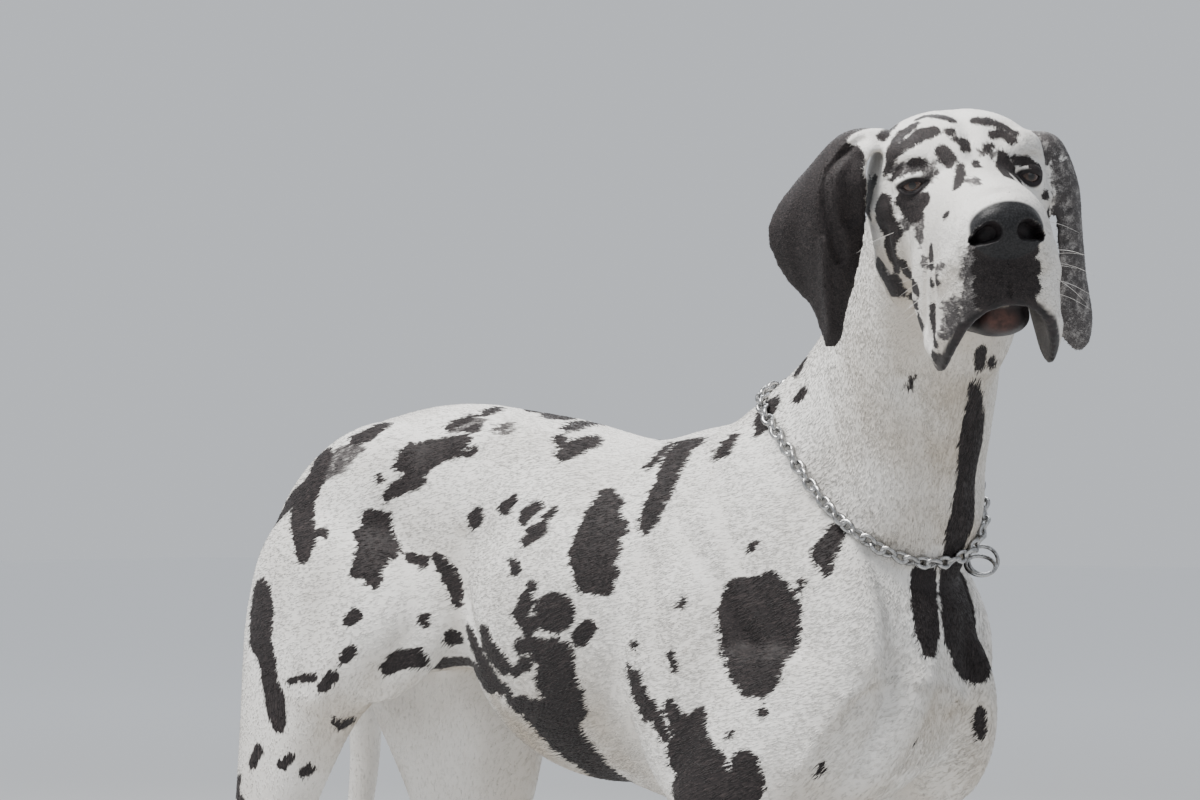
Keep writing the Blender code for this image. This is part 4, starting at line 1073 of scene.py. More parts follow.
# %% Patches of the shoulder, upper arm and withers
SHOULDER_MARKS = (
    ((125, 36, 825, 4), (100, 41, 819, 7), (78, 46, 808, 9), (77, 28, 789, 10), (77, 15, 769, 9),
     (73, 7, 754, 9), (70, 0, 737, 8), (67, -4, 727, 4)),
    ((55, 58, 810, 3), (51, 37, 795, 3), (45, 30, 788, 2)),
    ((154, 32, 825, 4), (145, 26, 812, 6), (140, 22, 800, 5)), ((126, 25, 802, 3), (139, 19, 793, 2)),
    ((187, 44, 850, 4), (177, 42, 839, 8), (177, 36, 827, 7), (175, 30, 820, 3)),
    ((279, 9, 727, 6), (277, -1, 711, 9), (270, -5, 705, 7), (276, -6, 697, 6), (279, -7, 688, 3)),
    ((196, -7, 648, 32), (200, -4, 621, 34), (212, -9, 631, 31), (207, -28, 599, 21), (226, -30, 593, 13),
     (220, -33, 581, 9), (204, -35, 574, 4)),
    ((217, -11, 680, 7), (229, -13, 664, 13)), ((175, -4, 670, 8),), ((240, -14, 623, 10),),
    ((236, -15, 651, 15),),
    ((119, -38, 560, 4), (132, -38, 543, 9), (145, -38, 538, 13), (148, -41, 513, 23), (166, -46, 501, 22),
     (159, -48, 476, 26)),
    ((154, -37, 550, 6),), ((211, -46, 509, 11), (218, -45, 489, 12), (201, -48, 484, 19)),
    ((116, -38, 530, 5),), ((98, -35, 558, 4), (108, -37, 542, 4), (113, -38, 530, 3)),
    ((73, -29, 585, 5), (79, -31, 571, 8), (89, -34, 555, 6), (91, -34, 547, 3)), ((61, -24, 590, 3),),
    ((72, -28, 614, 3),), ((119, -34, 609, 2), (125, -35, 592, 2)),
    ((126, -25, 654, 3), (128, -23, 658, 2)), ((198, -6, 713, 2), (192, -5, 708, 2)),
    ((255, -13, 676, 3), (251, -14, 670, 2)), ((227, -38, 557, 3),), ((193, -43, 536, 3),),
    ((280, -19, 507, 3), (276, -19, 501, 2)),
)
print("patches", len(SHOULDER_MARKS))

# %% Patches of the throat, breast and neck
CHEST_MARKS = (
    ((421, 15, 858, 4), (416, 28, 845, 6), (406, 43, 826, 11), (396, 57, 804, 13), (382, 75, 776, 13),
     (372, 83, 753, 13), (363, 90, 730, 12), (354, 92, 708, 8)),
    ((335, 72, 683, 12), (338, 65, 660, 12), (345, 62, 632, 11), (347, 60, 616, 7)),
    ((345, 104, 689, 12), (338, 130, 674, 25), (345, 126, 652, 28), (348, 126, 628, 27), (352, 129, 606, 21),
     (355, 136, 592, 11)),
    ((353, 145, 552, 4), (349, 152, 530, 3)),
    ((231, 26, 858, 3), (222, 28, 849, 3)),
    ((217, 53, 891, 3), (209, 48, 877, 3)), ((370, -16, 857, 2),),
    ((437, -3, 885, 4), (432, 6, 875, 4)), ((437, 19, 878, 3),), ((376, -20, 862, 2),),
)
print("patches", len(CHEST_MARKS))

# %% Patches of the forehead, cheeks, muzzle and lips
FACE_MARKS = (
    # These two strokes under the right eye are painted shade of the deep-set eye, drawn black like a patch
    ((464, -183, 1002, 5), (474, -185, 995, 8), (478, -186, 989, 6)),
    ((485, -187, 999, 7), (477, -185, 998, 7)),
    ((440, -173, 1002, 7), (438, -169, 989, 8), (446, -170, 977, 8), (438, -161, 968, 5),
     (439, -154, 954, 4), (437, -148, 948, 3)),
    ((449, -161, 953, 2), (454, -157, 942, 3), (473, -178, 927, 3), (478, -182, 923, 2)),
    ((421, -158, 1025, 3), (409, -146, 1014, 4), (402, -139, 1007, 3)),
    ((439, -127, 926, 2), (472, -174, 913, 2)), ((474, -174, 903, 3), (480, -179, 894, 2)),
    ((512, -219, 956, 2), (511, -219, 945, 4), (517, -226, 939, 2)), ((541, -245, 978, 2),),
    ((514, -223, 929, 1), (516, -224, 924, 1)), ((534, -247, 928, 1), (533, -245, 924, 1)),
    ((512, -218, 907, 3), (513, -216, 893, 3), (520, -225, 876, 2)),
    ((509, -212, 869, 2), (518, -217, 864, 5), (523, -215, 861, 7)),
    ((418, -119, 1076, 3), (434, -166, 1060, 3)),
    ((459, -154, 1070, 3), (451, -160, 1063, 5), (453, -175, 1053, 4), (451, -181, 1042, 3)),
    ((484, -167, 1060, 5), (476, -171, 1058, 7), (470, -181, 1051, 5), (461, -185, 1043, 3),
     (449, -180, 1035, 2)), ((457, -133, 1080, 2), (481, -146, 1075, 3), (494, -151, 1070, 2)),
    ((510, -141, 1070, 3), (520, -134, 1069, 4), (531, -128, 1064, 3), (541, -128, 1058, 2)),
    ((528, -144, 1056, 3), (533, -136, 1058, 4), (542, -136, 1051, 3)), ((498, -163, 1059, 3),),
    ((504, -165, 1052, 2),), ((510, -160, 1050, 3), (514, -164, 1043, 3)), ((528, -155, 1042, 2),),
    ((530, -151, 1046, 2),), ((498, -176, 1041, 5), (504, -176, 1035, 6), (507, -177, 1030, 3)),
    ((516, -176, 1028, 2), (529, -201, 1014, 3), (538, -222, 1003, 2)),
    ((524, -166, 1031, 2), (532, -176, 1026, 2)), ((461, -184, 1028, 2), (453, -180, 1022, 2)),
    ((450, -180, 1033, 2), (443, -175, 1028, 2)), ((486, -184, 1032, 2), (475, -186, 1033, 2)),
    ((539, -147, 1038, 3), (541, -150, 1029, 5), (563, -179, 1014, 4)),
    # The first stroke on this line, over the left eye, is painted shade of the brow
    ((546, -138, 1034, 3), (551, -124, 1034, 3), (558, -116, 1027, 3)), ((553, -98, 1008, 3),),
    ((589, -269, 946, 7), (604, -254, 945, 9), (617, -245, 946, 6)),
    ((585, -263, 932, 8), (600, -251, 931, 13), (613, -240, 932, 8)),
    ((584, -259, 919, 8), (599, -247, 917, 13), (612, -236, 919, 7)),
    ((581, -256, 907, 6), (592, -249, 906, 6)),
    ((604, -240, 908, 9), (589, -198, 895, 9), (563, -132, 883, 8), (567, -134, 875, 5)),
    ((408, -130, 956, 4), (412, -128, 944, 4), (420, -126, 932, 4)),
    ((425, -134, 939, 6), (430, -131, 931, 4)), ((606, -236, 905, 9),),
)
print("patches", len(FACE_MARKS))

# %% Grey patches, where black and white hairs mix
GREY_MARKS = (
    ((-357, 4, 789, 9), (-339, 8, 804, 11), (-325, 12, 813, 6)),
    ((-198, 55, 835, 9), (-221, 50, 832, 6)), ((-152, 56, 832, 5), (-163, 53, 829, 4)),
    ((103, 44, 826, 3), (122, 41, 831, 3)),
    ((422, -134, 943, 5), (428, -132, 934, 4)), ((493, -200, 947, 3),),
    ((547, -251, 903, 6), (552, -250, 894, 6), (540, -242, 885, 5)), ((530, -155, 1041, 4),),
    ((542, -211, 1011, 3), (557, -224, 1006, 2)),
    # Over the right eye: painted shadow of the brow and the heavy upper lid
    ((452, -179, 1029, 3), (468, -186, 1029, 4), (482, -185, 1030, 3), (491, -184, 1024, 5)),
    ((580, -269, 946, 4), (574, -265, 931, 5), (573, -260, 916, 6), (569, -256, 900, 6), (558, -250, 889, 6)),
    ((534, -246, 935, 3),), ((464, -179, 982, 3),),
)
print("patches", len(GREY_MARKS))

# %% Patches of the side that the photograph doesn't show
LEFT_MARKS = (
    ((68, 226, 660, 50), (28, 233, 620, 40), (88, 236, 600, 30)),
    ((188, 205, 740, 30), (228, 214, 690, 26)), ((133, 184, 800, 18), (88, 187, 780, 12)),
    ((-92, 222, 700, 36), (-132, 218, 640, 30), (-102, 225, 600, 20)),
    ((-32, 202, 520, 22), (-92, 171, 500, 30), (-162, 153, 530, 20)),
    ((-12, 185, 780, 16), (-62, 174, 800, 10)), ((-192, 184, 770, 20), (-232, 190, 720, 12)),
    ((-272, 191, 800, 26), (-322, 207, 780, 20), (-352, 189, 820, 12)),
    ((-362, 237, 660, 34), (-392, 239, 600, 26), (-372, 240, 550, 12)),
    ((-462, 200, 700, 18), (-492, 173, 640, 20), (-472, 207, 600, 10)),
    ((-282, 237, 600, 18), (-302, 240, 560, 10)), ((-252, 219, 660, 8),), ((-182, 180, 600, 10),),
    ((168, 242, 580, 10),), ((128, 245, 540, 8),), ((28, 155, 470, 12),), ((208, 233, 600, 6),),
    ((-52, 235, 600, 7),), ((-32, 240, 655, 6),), ((-162, 193, 700, 6),), ((-332, 230, 700, 6),),
    ((-432, 228, 550, 7),),
    ((208, 257, 480, 22), (218, 258, 430, 18), (188, 251, 400, 10)), ((218, 251, 330, 7),),
    ((203, 243, 250, 10),), ((228, 247, 160, 6),), ((-292, 236, 460, 12), (-312, 234, 420, 14)),
    ((-422, 204, 300, 8),), ((-472, 224, 200, 10), (-467, 223, 160, 6)), ((-462, 222, 100, 5),),
    ((268, 270, 35, 6),), ((268, 145, 900, 18), (298, 160, 870, 14)), ((348, 153, 840, 10),),
    ((238, 176, 840, 8),), ((328, 84, 980, 22), (308, 118, 940, 18)), ((368, 118, 920, 7),),
)
print("patches", len(LEFT_MARKS))

# %% Patches of the legs, back and belly
LEG_MARKS = (
    ((138, -39, 430, 28), (158, -44, 390, 26), (168, -43, 345, 14)),
    ((158, -26, 260, 8), (163, -31, 240, 4)), ((173, -28, 85, 5),),
    ((-472, -17, 450, 10), (-462, -22, 420, 6)), ((-502, -3, 360, 8),),
    ((-562, -7, 270, 12), (-582, -15, 240, 8)), ((-602, -12, 170, 6),), ((-592, -11, 110, 8),),
    ((-562, -36, 50, 6),), ((-432, -11, 370, 6),), ((212, -20, 300, 4),), ((210, -5, 220, 6),),
    ((254, 215, 360, 8),), ((246, 230, 300, 12), (245, 225, 260, 6)), ((318, 210, 520, 10),),
    ((330, 60, 530, 6),),
    ((-484, 30, 620, 12),), ((-534, 160, 620, 14), (-460, 170, 560, 10)), ((-476, 10, 660, 10),),
    ((-416, 200, 450, 8),), ((-420, 190, 300, 6),), ((-120, 100, 843, 20), (-160, 110, 850, 12)),
    ((20, 110, 816, 16),), ((-300, 110, 856, 12),), ((100, 120, 829, 8),),
    ((50, 100, 452, 16), (-20, 110, 469, 22), (-100, 110, 479, 18)),
)
print("patches", len(LEG_MARKS))

# %% [markdown]
# Patches on the head that lie out of sight of the camera, the black right ear and the grey left one are
# written in the head frame, in metres. So are the places with bare skin: the nose leather, the rims of the lips
# and eyes, and the pink skin of the chin.

# %% Patches of the head
EAR_BLACK = (
    ((-0.078, -0.096, 0.036, 0.026), (-0.070, -0.118, 0.000, 0.044), (-0.068, -0.130, -0.080, 0.050),
     (-0.064, -0.118, -0.140, 0.034)),
    ((-0.046, -0.092, 0.022, 0.012), (-0.046, -0.102, 0.000, 0.021), (-0.052, -0.108, -0.040, 0.024)),
)
HIDDEN_HEAD_MARKS = (
    ((0.004, 0.028, 0.016, 0.005), (0.014, 0.031, 0.002, 0.008), (0.020, 0.036, -0.014, 0.009),
     (0.012, 0.046, -0.028, 0.010), (0.000, 0.056, -0.036, 0.007), (0.004, 0.056, -0.052, 0.004)),
    ((-0.030, 0.066, -0.040, 0.012), (-0.048, 0.066, -0.062, 0.010)), ((0.020, 0.054, -0.070, 0.009),),
    ((-0.080, 0.070, -0.070, 0.010),), ((0.060, 0.050, -0.096, 0.008), (0.066, 0.048, -0.118, 0.006)),
    ((-0.090, 0.030, 0.052, 0.010), (-0.110, 0.020, 0.046, 0.008)), ((-0.060, -0.030, 0.052, 0.007),),
    ((-0.130, -0.020, 0.036, 0.012), (-0.150, -0.034, 0.020, 0.010)),
    ((0.128, 0.010, -0.050, 0.016), (0.128, -0.010, -0.050, 0.016), (0.130, 0, -0.078, 0.014)),
)
HEAD_GREYS = (
    ((-0.046, 0.074, 0.018, 0.014), (-0.066, 0.086, 0.022, 0.020), (-0.090, 0.088, 0.020, 0.018)),
    ((-0.044, 0.090, -0.004, 0.014), (-0.046, 0.094, -0.060, 0.020), (-0.050, 0.094, -0.120, 0.024),
     (-0.058, 0.096, -0.150, 0.024)),
    ((-0.076, 0.086, 0.016, 0.022), (-0.080, 0.108, -0.030, 0.040), (-0.080, 0.112, -0.090, 0.042),
     (-0.080, 0.106, -0.150, 0.030)),
    # Round the right eye: painted shade under it, and painted shadow of the brow over it
    ((0.014, -0.046, -0.030, 0.012), (0.020, -0.050, -0.042, 0.010)), ((-0.010, -0.050, 0.016, 0.006),),
    ((0.020, 0.046, -0.020, 0.008),),
)
print("patches of the head", len(EAR_BLACK) + len(HIDDEN_HEAD_MARKS) + len(HEAD_GREYS))

# %% Distance from the patches
MARK_REACH = 0.030
# The patches of the photograph were measured across the view, so depth counts less than width in them
DEPTH_COUNTS = 0.45
# How much larger than measured a patch is: on the body, on the face, and where it is grey
BODY_SPARE, FACE_SPARE, GREY_SPARE = 0.0022, 0.0017, 0.0020


def nearest_stroke(points, paths):
    """How far each point is from the edge of the nearest stroke, up to the reach that matters."""
    best = np.full(len(points), MARK_REACH)
    for path in paths:
        path = np.array(path, float).reshape(-1, 4)
        spare = path[:, 3].max() + MARK_REACH
        low, high = path[:, :3].min(0) - spare, path[:, :3].max(0) + spare
        near = in_box(points, low, high)
        if len(near):
            best[near] = np.minimum(best[near], distance_from(points[near], path))
    return best


def keep(obj, name, values, kind="FLOAT", slot="value"):
    """Values for each vertex, kept on the mesh for the material to read."""
    attribute = obj.data.attributes.new(name, kind, "POINT")
    attribute.data.foreach_set(slot, np.ascontiguousarray(values, np.float32).ravel())


def flattened(points):
    """Places pressed together along the line of sight."""
    return points - (points @ SIGHT)[:, None] * SIGHT * (1 - DEPTH_COUNTS)


def seen_patch(path, spare):
    """A patch in metres, pressed together along the line of sight and a little larger."""
    path = metres(path)
    return np.column_stack([flattened(path[:, :3]), path[:, 3] + spare])


seen = [seen_patch(path, BODY_SPARE) for path in HIND_MARKS + RIB_MARKS + SHOULDER_MARKS + CHEST_MARKS]
seen += [seen_patch(path, FACE_SPARE) for path in FACE_MARKS]
seen_greys = [seen_patch(path, GREY_SPARE) for path in GREY_MARKS]
hidden = [metres(path) for path in LEFT_MARKS + LEG_MARKS]
print("strokes seen", len(seen), "and hidden", len(hidden))

# %% Bare skin of the head
rim_line = [(x, y, rim, 0.0085) for x, y, rim, thickness in LIP]
NOSE_HALF_WIDTH, NOSE_HALF_HEIGHT, NOSE_MIDDLE = 0.0300, 0.0235, -0.0265
CHIN_AT = (0.116, -0.004, -0.102)


def bare_skin(local):
    """Nose leather, dark rims of lips and eyes, and the chin, for places in the head frame. The dark also
    paints shade inside the mouth, in the nostrils and round the eyes.
    """
    leather = np.hypot(local[:, 1] / NOSE_HALF_WIDTH, (local[:, 2] - NOSE_MIDDLE) / NOSE_HALF_HEIGHT)
    leather = (1 - eased(leather, 0.95, 1.03)) * eased(local[:, 0], 0.113, 0.119)
    # The nostril holes, darker than the leather: partly their dark skin, partly painted shade
    hole = np.minimum(nostril_gap(local, NOSTRIL), nostril_gap(local, mirrored(NOSTRIL)))
    hole = (1 - eased(hole, -0.0010, 0.0015)) * (local[:, 0] > 0.120)
    lip = np.minimum(nearest_stroke(local, [rim_line]), nearest_stroke(local, [mirrored(rim_line)]))
    lip = 1 - eased(lip, -0.0010, 0.0024)
    # The inner side of the flews, and the mouth between them: dark skin of the lips, and painted shade inside
    # the mouth
    lip_ahead, lip_aside = zip(*[(x, y) for x, y, rim, thickness in reversed(LIP)])
    sheet = np.interp(local[:, 0], lip_ahead, lip_aside)
    mouth = (1 - eased(np.abs(local[:, 1]) - sheet, -0.004, 0.001)) * eased(local[:, 0], -0.010, 0.020)
    mouth *= (1 - eased(local[:, 2], -0.092, -0.087)) * (1 - eased(local[:, 0], 0.138, 0.146))
    mouth *= 1 - (1 - eased(local[:, 2], -0.132, -0.122)) * (np.abs(local[:, 1]) < 0.030)
    from_chin = np.linalg.norm((local - CHIN_AT) * (1, 1, 1.3), axis=1)
    chin = mouth * (1 - eased(from_chin, 0.006, 0.019))
    # The dark rim round each eye: its dark skin, drawn wider than the rim as painted shade of the heavy lids
    for side in (-1, 1):
        centre, gaze, outer, up = (np.array(v) for v in eye_axes(side))
        out = local - centre
        gap = lid_gap(out @ outer, out @ up)
        near = (out @ gaze > 0.002) & (np.linalg.norm(out, axis=1) < 0.030)
        lip = np.maximum(lip, near * (1 - eased(gap, 0.0016, 0.0046)))
    # The nostrils are painted as dark as the lips: their dark skin, and painted shade in the holes that also
    # runs under the edge of the leather round them
    return leather * (1 - hole), np.maximum(np.maximum(lip, mouth), hole > 0.01), 0.9 * chin


print("nose leather", 2 * NOSE_HALF_WIDTH, "wide")

# %% [markdown]
# Short hair lies from the nose back over the skull, down the neck and the legs, and back along the trunk. The
# share of each of these directions is kept on the skin too. The streaks of the coat and its tufts read it.

# %% The lie of the hair
HEAD_WAY = HEAD_AXES @ Vector((-1, 0, -0.1))
NECK_WAY = Vector((-0.30, 0.12, -0.95))
LEG_WAY = Vector((-0.05, 0, -1))
TRUNK_WAY = Vector((-0.93, 0, -0.35))
# How long and how deep the wobble is that makes a plain stroke uneven
RAGGED_LENGTH, RAGGED_DEPTH = 0.085, 0.009


def lie_shares(points):
    """How much the hair at each point lies as on the head, the neck and the legs. The rest is trunk."""
    local = in_head(points, ROW_HEAD)
    x, z = points[:, 0], points[:, 2]
    head = eased(local[:, 0], -0.175, -0.120) * eased(local[:, 2], -0.20, -0.15) * eased(z, 0.84, 0.88)
    neck = eased(x + 0.5 * (z - 0.8), 0.18, 0.32) * (1 - head)
    leg = np.maximum(1 - eased(z, 0.41, 0.50), (1 - eased(z, 0.50, 0.64)) * (1 - eased(x, -0.30, -0.20)))
    leg = leg * (1 - neck)
    return np.stack([head, neck * (1 - leg), leg], axis=1)


def ragged(points):
    """A wobble between -1 and 1 from place to place."""
    x, y, z = (points * 2 * pi / RAGGED_LENGTH).T
    waves = np.sin(x + 1.7 * np.sin(z)) + np.sin(1.9 * z + 1.3 * np.sin(2.3 * x + y))
    return (waves + np.sin(3.1 * x - 2.2 * z + 2 * y)) / 3


def coat_values(points, normals):
    """Everything that the coat material reads, for places on the skin and the way they face."""
    local = in_head(points, ROW_HEAD)
    mark = nearest_stroke(points, hidden) + RAGGED_DEPTH * ragged(points)
    mark = np.minimum(nearest_stroke(flattened(points), seen), mark)
    mark = np.minimum(mark, nearest_stroke(local, EAR_BLACK + HIDDEN_HEAD_MARKS))
    grey = np.minimum(nearest_stroke(flattened(points), seen_greys), nearest_stroke(local, HEAD_GREYS))
    leather, lip, chin = bare_skin(local)
    # The pads under the toes are bare and dark
    lip = np.maximum(lip, (1 - eased(points[:, 2], 0.010, 0.014)) * (1 - eased(normals[:, 2], -0.5, 0.1)))
    # Painted shade: the white hair is darker and warmer where the skin faces down, away from the light above
    under = (1 - eased(normals[:, 2], -0.75, 0.15)) * eased(points[:, 2], 0.04, 0.30)
    return {"mark": mark, "grey": grey, "leather": leather, "lip": lip, "pink": chin, "under": under,
            "lie": lie_shares(points)}


KEPT = ("mark", "grey", "leather", "lip", "pink", "under")


def keep_coat(obj, root, values, times=1):
    """Keeps the coat values of each root on the vertices that grow from it."""
    for name in KEPT:
        keep(obj, name, np.repeat(values[name], times))
    for name, ways in (("root", root), ("lie", values["lie"])):
        keep(obj, name, np.repeat(ways, times, axis=0), "FLOAT_VECTOR", "vector")


co, normal = places_of(skin)
values = coat_values(co, normal)
leather, lip, chin = values["leather"], values["lip"], values["pink"]
keep_coat(skin, co, values)
print("black share of the skin", round(float((values["mark"] < 0).mean()), 2))

# %% [markdown]
# Materials are built from nodes. Small helpers place a node with its values and join its sockets, so that
# each effect can be read from top to bottom.

# %% Helpers for materials
def node(tree, kind, inputs=None, **settings):
    """A shader node with its settings; an input is a value, or a socket to join to it."""
    made = tree.nodes.new("ShaderNode" + kind)
    for key, value in settings.items():
        setattr(made, key, value)
    for key, value in (inputs or {}).items():
        if isinstance(value, bpy.types.NodeSocket):
            tree.links.new(value, made.inputs[key])
        else:
            made.inputs[key].default_value = value
    return made


def calc(operation, a, b):
    """One step of arithmetic on sockets or plain values, in the tree of the first socket."""
    tree = (a if isinstance(a, bpy.types.NodeSocket) else b).id_data
    return node(tree, "Math", {0: a, 1: b}, operation=operation).outputs[0]


def plus(a, b):
    return calc("ADD", a, b)


def minus(a, b):
    return calc("SUBTRACT", a, b)


def times(a, b):
    return calc("MULTIPLY", a, b)


def between(value, low, high):
    """A smooth rise from 0 at low to 1 at high."""
    return node(value.id_data, "MapRange", {"Value": value, "From Min": low, "From Max": high},
                interpolation_type="SMOOTHSTEP").outputs["Result"]


def blend(share, first, second):
    """A colour between two colours."""
    tree = share.id_data
    mix = node(tree, "Mix", data_type="RGBA")
    for socket, value in ((mix.inputs["Factor"], share), (mix.inputs[6], first), (mix.inputs[7], second)):
        if isinstance(value, bpy.types.NodeSocket):
            tree.links.new(value, socket)
        else:
            socket.default_value = value if isinstance(value, (int, float)) else (*value, 1)
    return mix.outputs[2]


def attribute(tree, name, output="Fac"):
    """What the mesh keeps under a name."""
    return node(tree, "Attribute", attribute_type="GEOMETRY", attribute_name=name).outputs[output]


def own_place(tree):
    """The place on the piece, in metres."""
    return node(tree, "TexCoord").outputs["Object"]


def noise(place, scale, detail=2, roughness=0.5):
    return node(place.id_data, "TexNoise", {"Vector": place, "Scale": scale, "Detail": detail,
                                            "Roughness": roughness}).outputs["Fac"]


def new_group(name, inputs, outputs):
    """A node group with named sockets, and its two end nodes."""
    tree = bpy.data.node_groups.new(name, "ShaderNodeTree")
    for socket, kind in inputs:
        tree.interface.new_socket(name=socket, in_out="INPUT", socket_type="NodeSocket" + kind)
    for socket, kind in outputs:
        tree.interface.new_socket(name=socket, in_out="OUTPUT", socket_type="NodeSocket" + kind)
    return tree, tree.nodes.new("NodeGroupInput").outputs, tree.nodes.new("NodeGroupOutput").inputs


def new_material(name, **values):
    """A material, its node tree and its shader, with plain values set on the shader's own sockets."""
    made = bpy.data.materials.new(name)
    made.use_nodes = True
    shader = made.node_tree.nodes["Principled BSDF"]
    for key, value in values.items():
        shader.inputs[key.replace("_", " ")].default_value = value
    return made, made.node_tree, shader


def bumped(tree, shader, height, depth):
    """A small relief on the shader's normal."""
    bump = node(tree, "Bump", {"Height": height, "Distance": depth})
    tree.links.new(bump.outputs["Normal"], shader.inputs["Normal"])


def dressed(piece, material):
    """Gives a finished piece smooth faces and its material."""
    piece.data.polygons.foreach_set("use_smooth", [True] * len(piece.data.polygons))
    piece.data.materials.append(material)


print("material helpers ready")

# %% [markdown]
# The streaks: noise drawn out along each of the four directions of the hair, and mixed by the shares that the
# skin keeps. Fine streaks are single hairs, and broad ones are the locks that tear the edge of a patch.

# %% Hair streaks
# How long the noise is drawn out, and its scale
STREAKS = {"Fine": (9, 900), "Broad": (4, 190)}

streaks, given, wanted = new_group("hair_streaks", (("Place", "Vector"), ("Lie", "Vector")),
                                   (("Fine", "Float"), ("Broad", "Float")))
share = node(streaks, "SeparateXYZ", {"Vector": given["Lie"]}).outputs
other_shares = plus(plus(share[0], share[1]), share[2])
trunk_share = minus(1.0, other_shares)
sums = {name: 0.0 for name in STREAKS}
weights = (share[0], share[1], share[2], trunk_share)
for way, weight in zip((HEAD_WAY, NECK_WAY, LEG_WAY, TRUNK_WAY), weights):
    turn = way.to_track_quat("X", "Z").to_euler()
    for name, (stretch, scale) in STREAKS.items():
        drawn_out = {"Vector": given["Place"], "Rotation": turn, "Scale": (stretch, 1, 1)}
        place = node(streaks, "Mapping", drawn_out, vector_type="TEXTURE").outputs["Vector"]
        value = times(noise(place, scale, 2, 0.6), weight)
        sums[name] = plus(sums[name], value)
for name, total in sums.items():
    streaks.links.new(total, wanted[name])
print("streak nodes", len(streaks.nodes))

# %% [markdown]
# The coat itself: white hair that is warm where it is thin and darker with painted shade where it faces down,
# black patches with a brown cast and torn edges, grey where the hairs mix, and the bare skin. The group gives
# colour, roughness and the height of the relief.

# %% Harlequin coat
WHITE_HAIR, SHADED_HAIR, WARM_HAIR = (0.79, 0.775, 0.75), (0.62, 0.60, 0.57), (0.66, 0.60, 0.53)
# Painted shade for white hair on surfaces that face down
UNDERSIDE_SHADE_HAIR = (0.50, 0.43, 0.345)
BLACK_HAIR, BROWN_HAIR = (0.014, 0.0115, 0.012), (0.052, 0.041, 0.040)
GREY_HAIR, DARK_GREY = (0.30, 0.285, 0.275), (0.060, 0.054, 0.054)
LIP_SKIN, LIP_SHEEN = (0.006, 0.005, 0.006), (0.020, 0.014, 0.015)
NOSE_SKIN, NOSE_GREY = (0.009, 0.009, 0.010), (0.022, 0.022, 0.024)
PINK_SKIN, BROWN_SKIN = (0.110, 0.052, 0.042), (0.040, 0.022, 0.019)

# What the group is given, and the name under which the mesh keeps it
COAT_READS = {"Place": "root", "Lie": "lie", "Mark": "mark", "Grey": "grey", "Lip": "lip", "Leather": "leather",
              "Pink": "pink", "Under": "under"}
COAT_VECTORS = ("Place", "Lie")
# How deep locks tear the edge of a patch, how much less on the head, how deep single hairs tear it, and how
# far grey patches fray
LOCK_TEAR, LESS_ON_HEAD, HAIR_TEAR, GREY_FRAY = 0.011, 0.0055, 0.0045, 0.024

coat, given, wanted = new_group(
    "harlequin_coat", [(name, "Vector" if name in COAT_VECTORS else "Float") for name in COAT_READS],
    (("Colour", "Color"), ("Roughness", "Float"), ("Height", "Float")))
hair = node(coat, "Group", {"Place": given["Place"], "Lie": given["Lie"]}, node_tree=streaks).outputs
cloud = noise(given["Place"], 9, 3)
blot = noise(given["Place"], 120, 3, 0.6)
fine_off, broad_off = minus(hair["Fine"], 0.5), minus(hair["Broad"], 0.5)
# The edge of a patch is torn by broad locks first and by single hairs last
on_head = node(coat, "SeparateXYZ", {"Vector": given["Lie"]}).outputs[0]
tear = minus(LOCK_TEAR, times(on_head, LESS_ON_HEAD))
torn = plus(given["Mark"], times(broad_off, tear))
torn = plus(torn, times(fine_off, HAIR_TEAR))
black = minus(1.0, between(torn, -0.0010, 0.0010))
frayed = plus(given["Grey"], times(broad_off, GREY_FRAY))
greyed = minus(1.0, between(frayed, -0.002, 0.003))

white = blend(between(cloud, 0.35, 0.75), WHITE_HAIR, SHADED_HAIR)
warm = times(between(hair["Fine"], 0.52, 0.80), 0.35)
white = blend(warm, white, WARM_HAIR)
# Painted shade under the body, broken up by a broad cloud
painted_underside_shade = times(given["Under"], between(cloud, 0.15, 0.75))
white = blend(painted_underside_shade, white, UNDERSIDE_SHADE_HAIR)
dark = blend(between(hair["Fine"], 0.42, 0.78), BLACK_HAIR, BROWN_HAIR)
speckle = plus(times(blot, 0.6), times(hair["Fine"], 0.4))
mixed = blend(between(speckle, 0.46, 0.66), DARK_GREY, GREY_HAIR)
colour = blend(greyed, white, mixed)
colour = blend(black, colour, dark)
skin_blot = between(blot, 0.35, 0.70)
colour = blend(given["Lip"], colour, blend(skin_blot, LIP_SKIN, LIP_SHEEN))
colour = blend(given["Pink"], colour, blend(skin_blot, PINK_SKIN, BROWN_SKIN))
# Pebbled leather of the nose
pebble = node(coat, "TexVoronoi", {"Vector": given["Place"], "Scale": 620.0}, feature="F1").outputs["Distance"]
nose = blend(between(pebble, 0.2, 0.8), NOSE_GREY, NOSE_SKIN)
colour = blend(given["Leather"], colour, nose)

bare = calc("MAXIMUM", calc("MAXIMUM", given["Lip"], given["Pink"]), given["Leather"])
rough = minus(0.62, times(bare, 0.12))
rough = plus(rough, times(fine_off, 0.20))
furry = plus(times(hair["Fine"], 0.75), times(hair["Broad"], 0.9))
leathery = minus(1.0, times(pebble, 0.35))
height = times(furry, minus(1.0, bare))
height = plus(height, times(leathery, given["Leather"]))
for value, name in ((colour, "Colour"), (rough, "Roughness"), (height, "Height")):
    coat.links.new(value, wanted[name])
print("coat nodes", len(coat.nodes))

# %% Coat on the skin
# The darkest tuft's brightness, and how much brighter the palest one is
TUFT_DARKEST, TUFT_RANGE = 0.86, 0.26


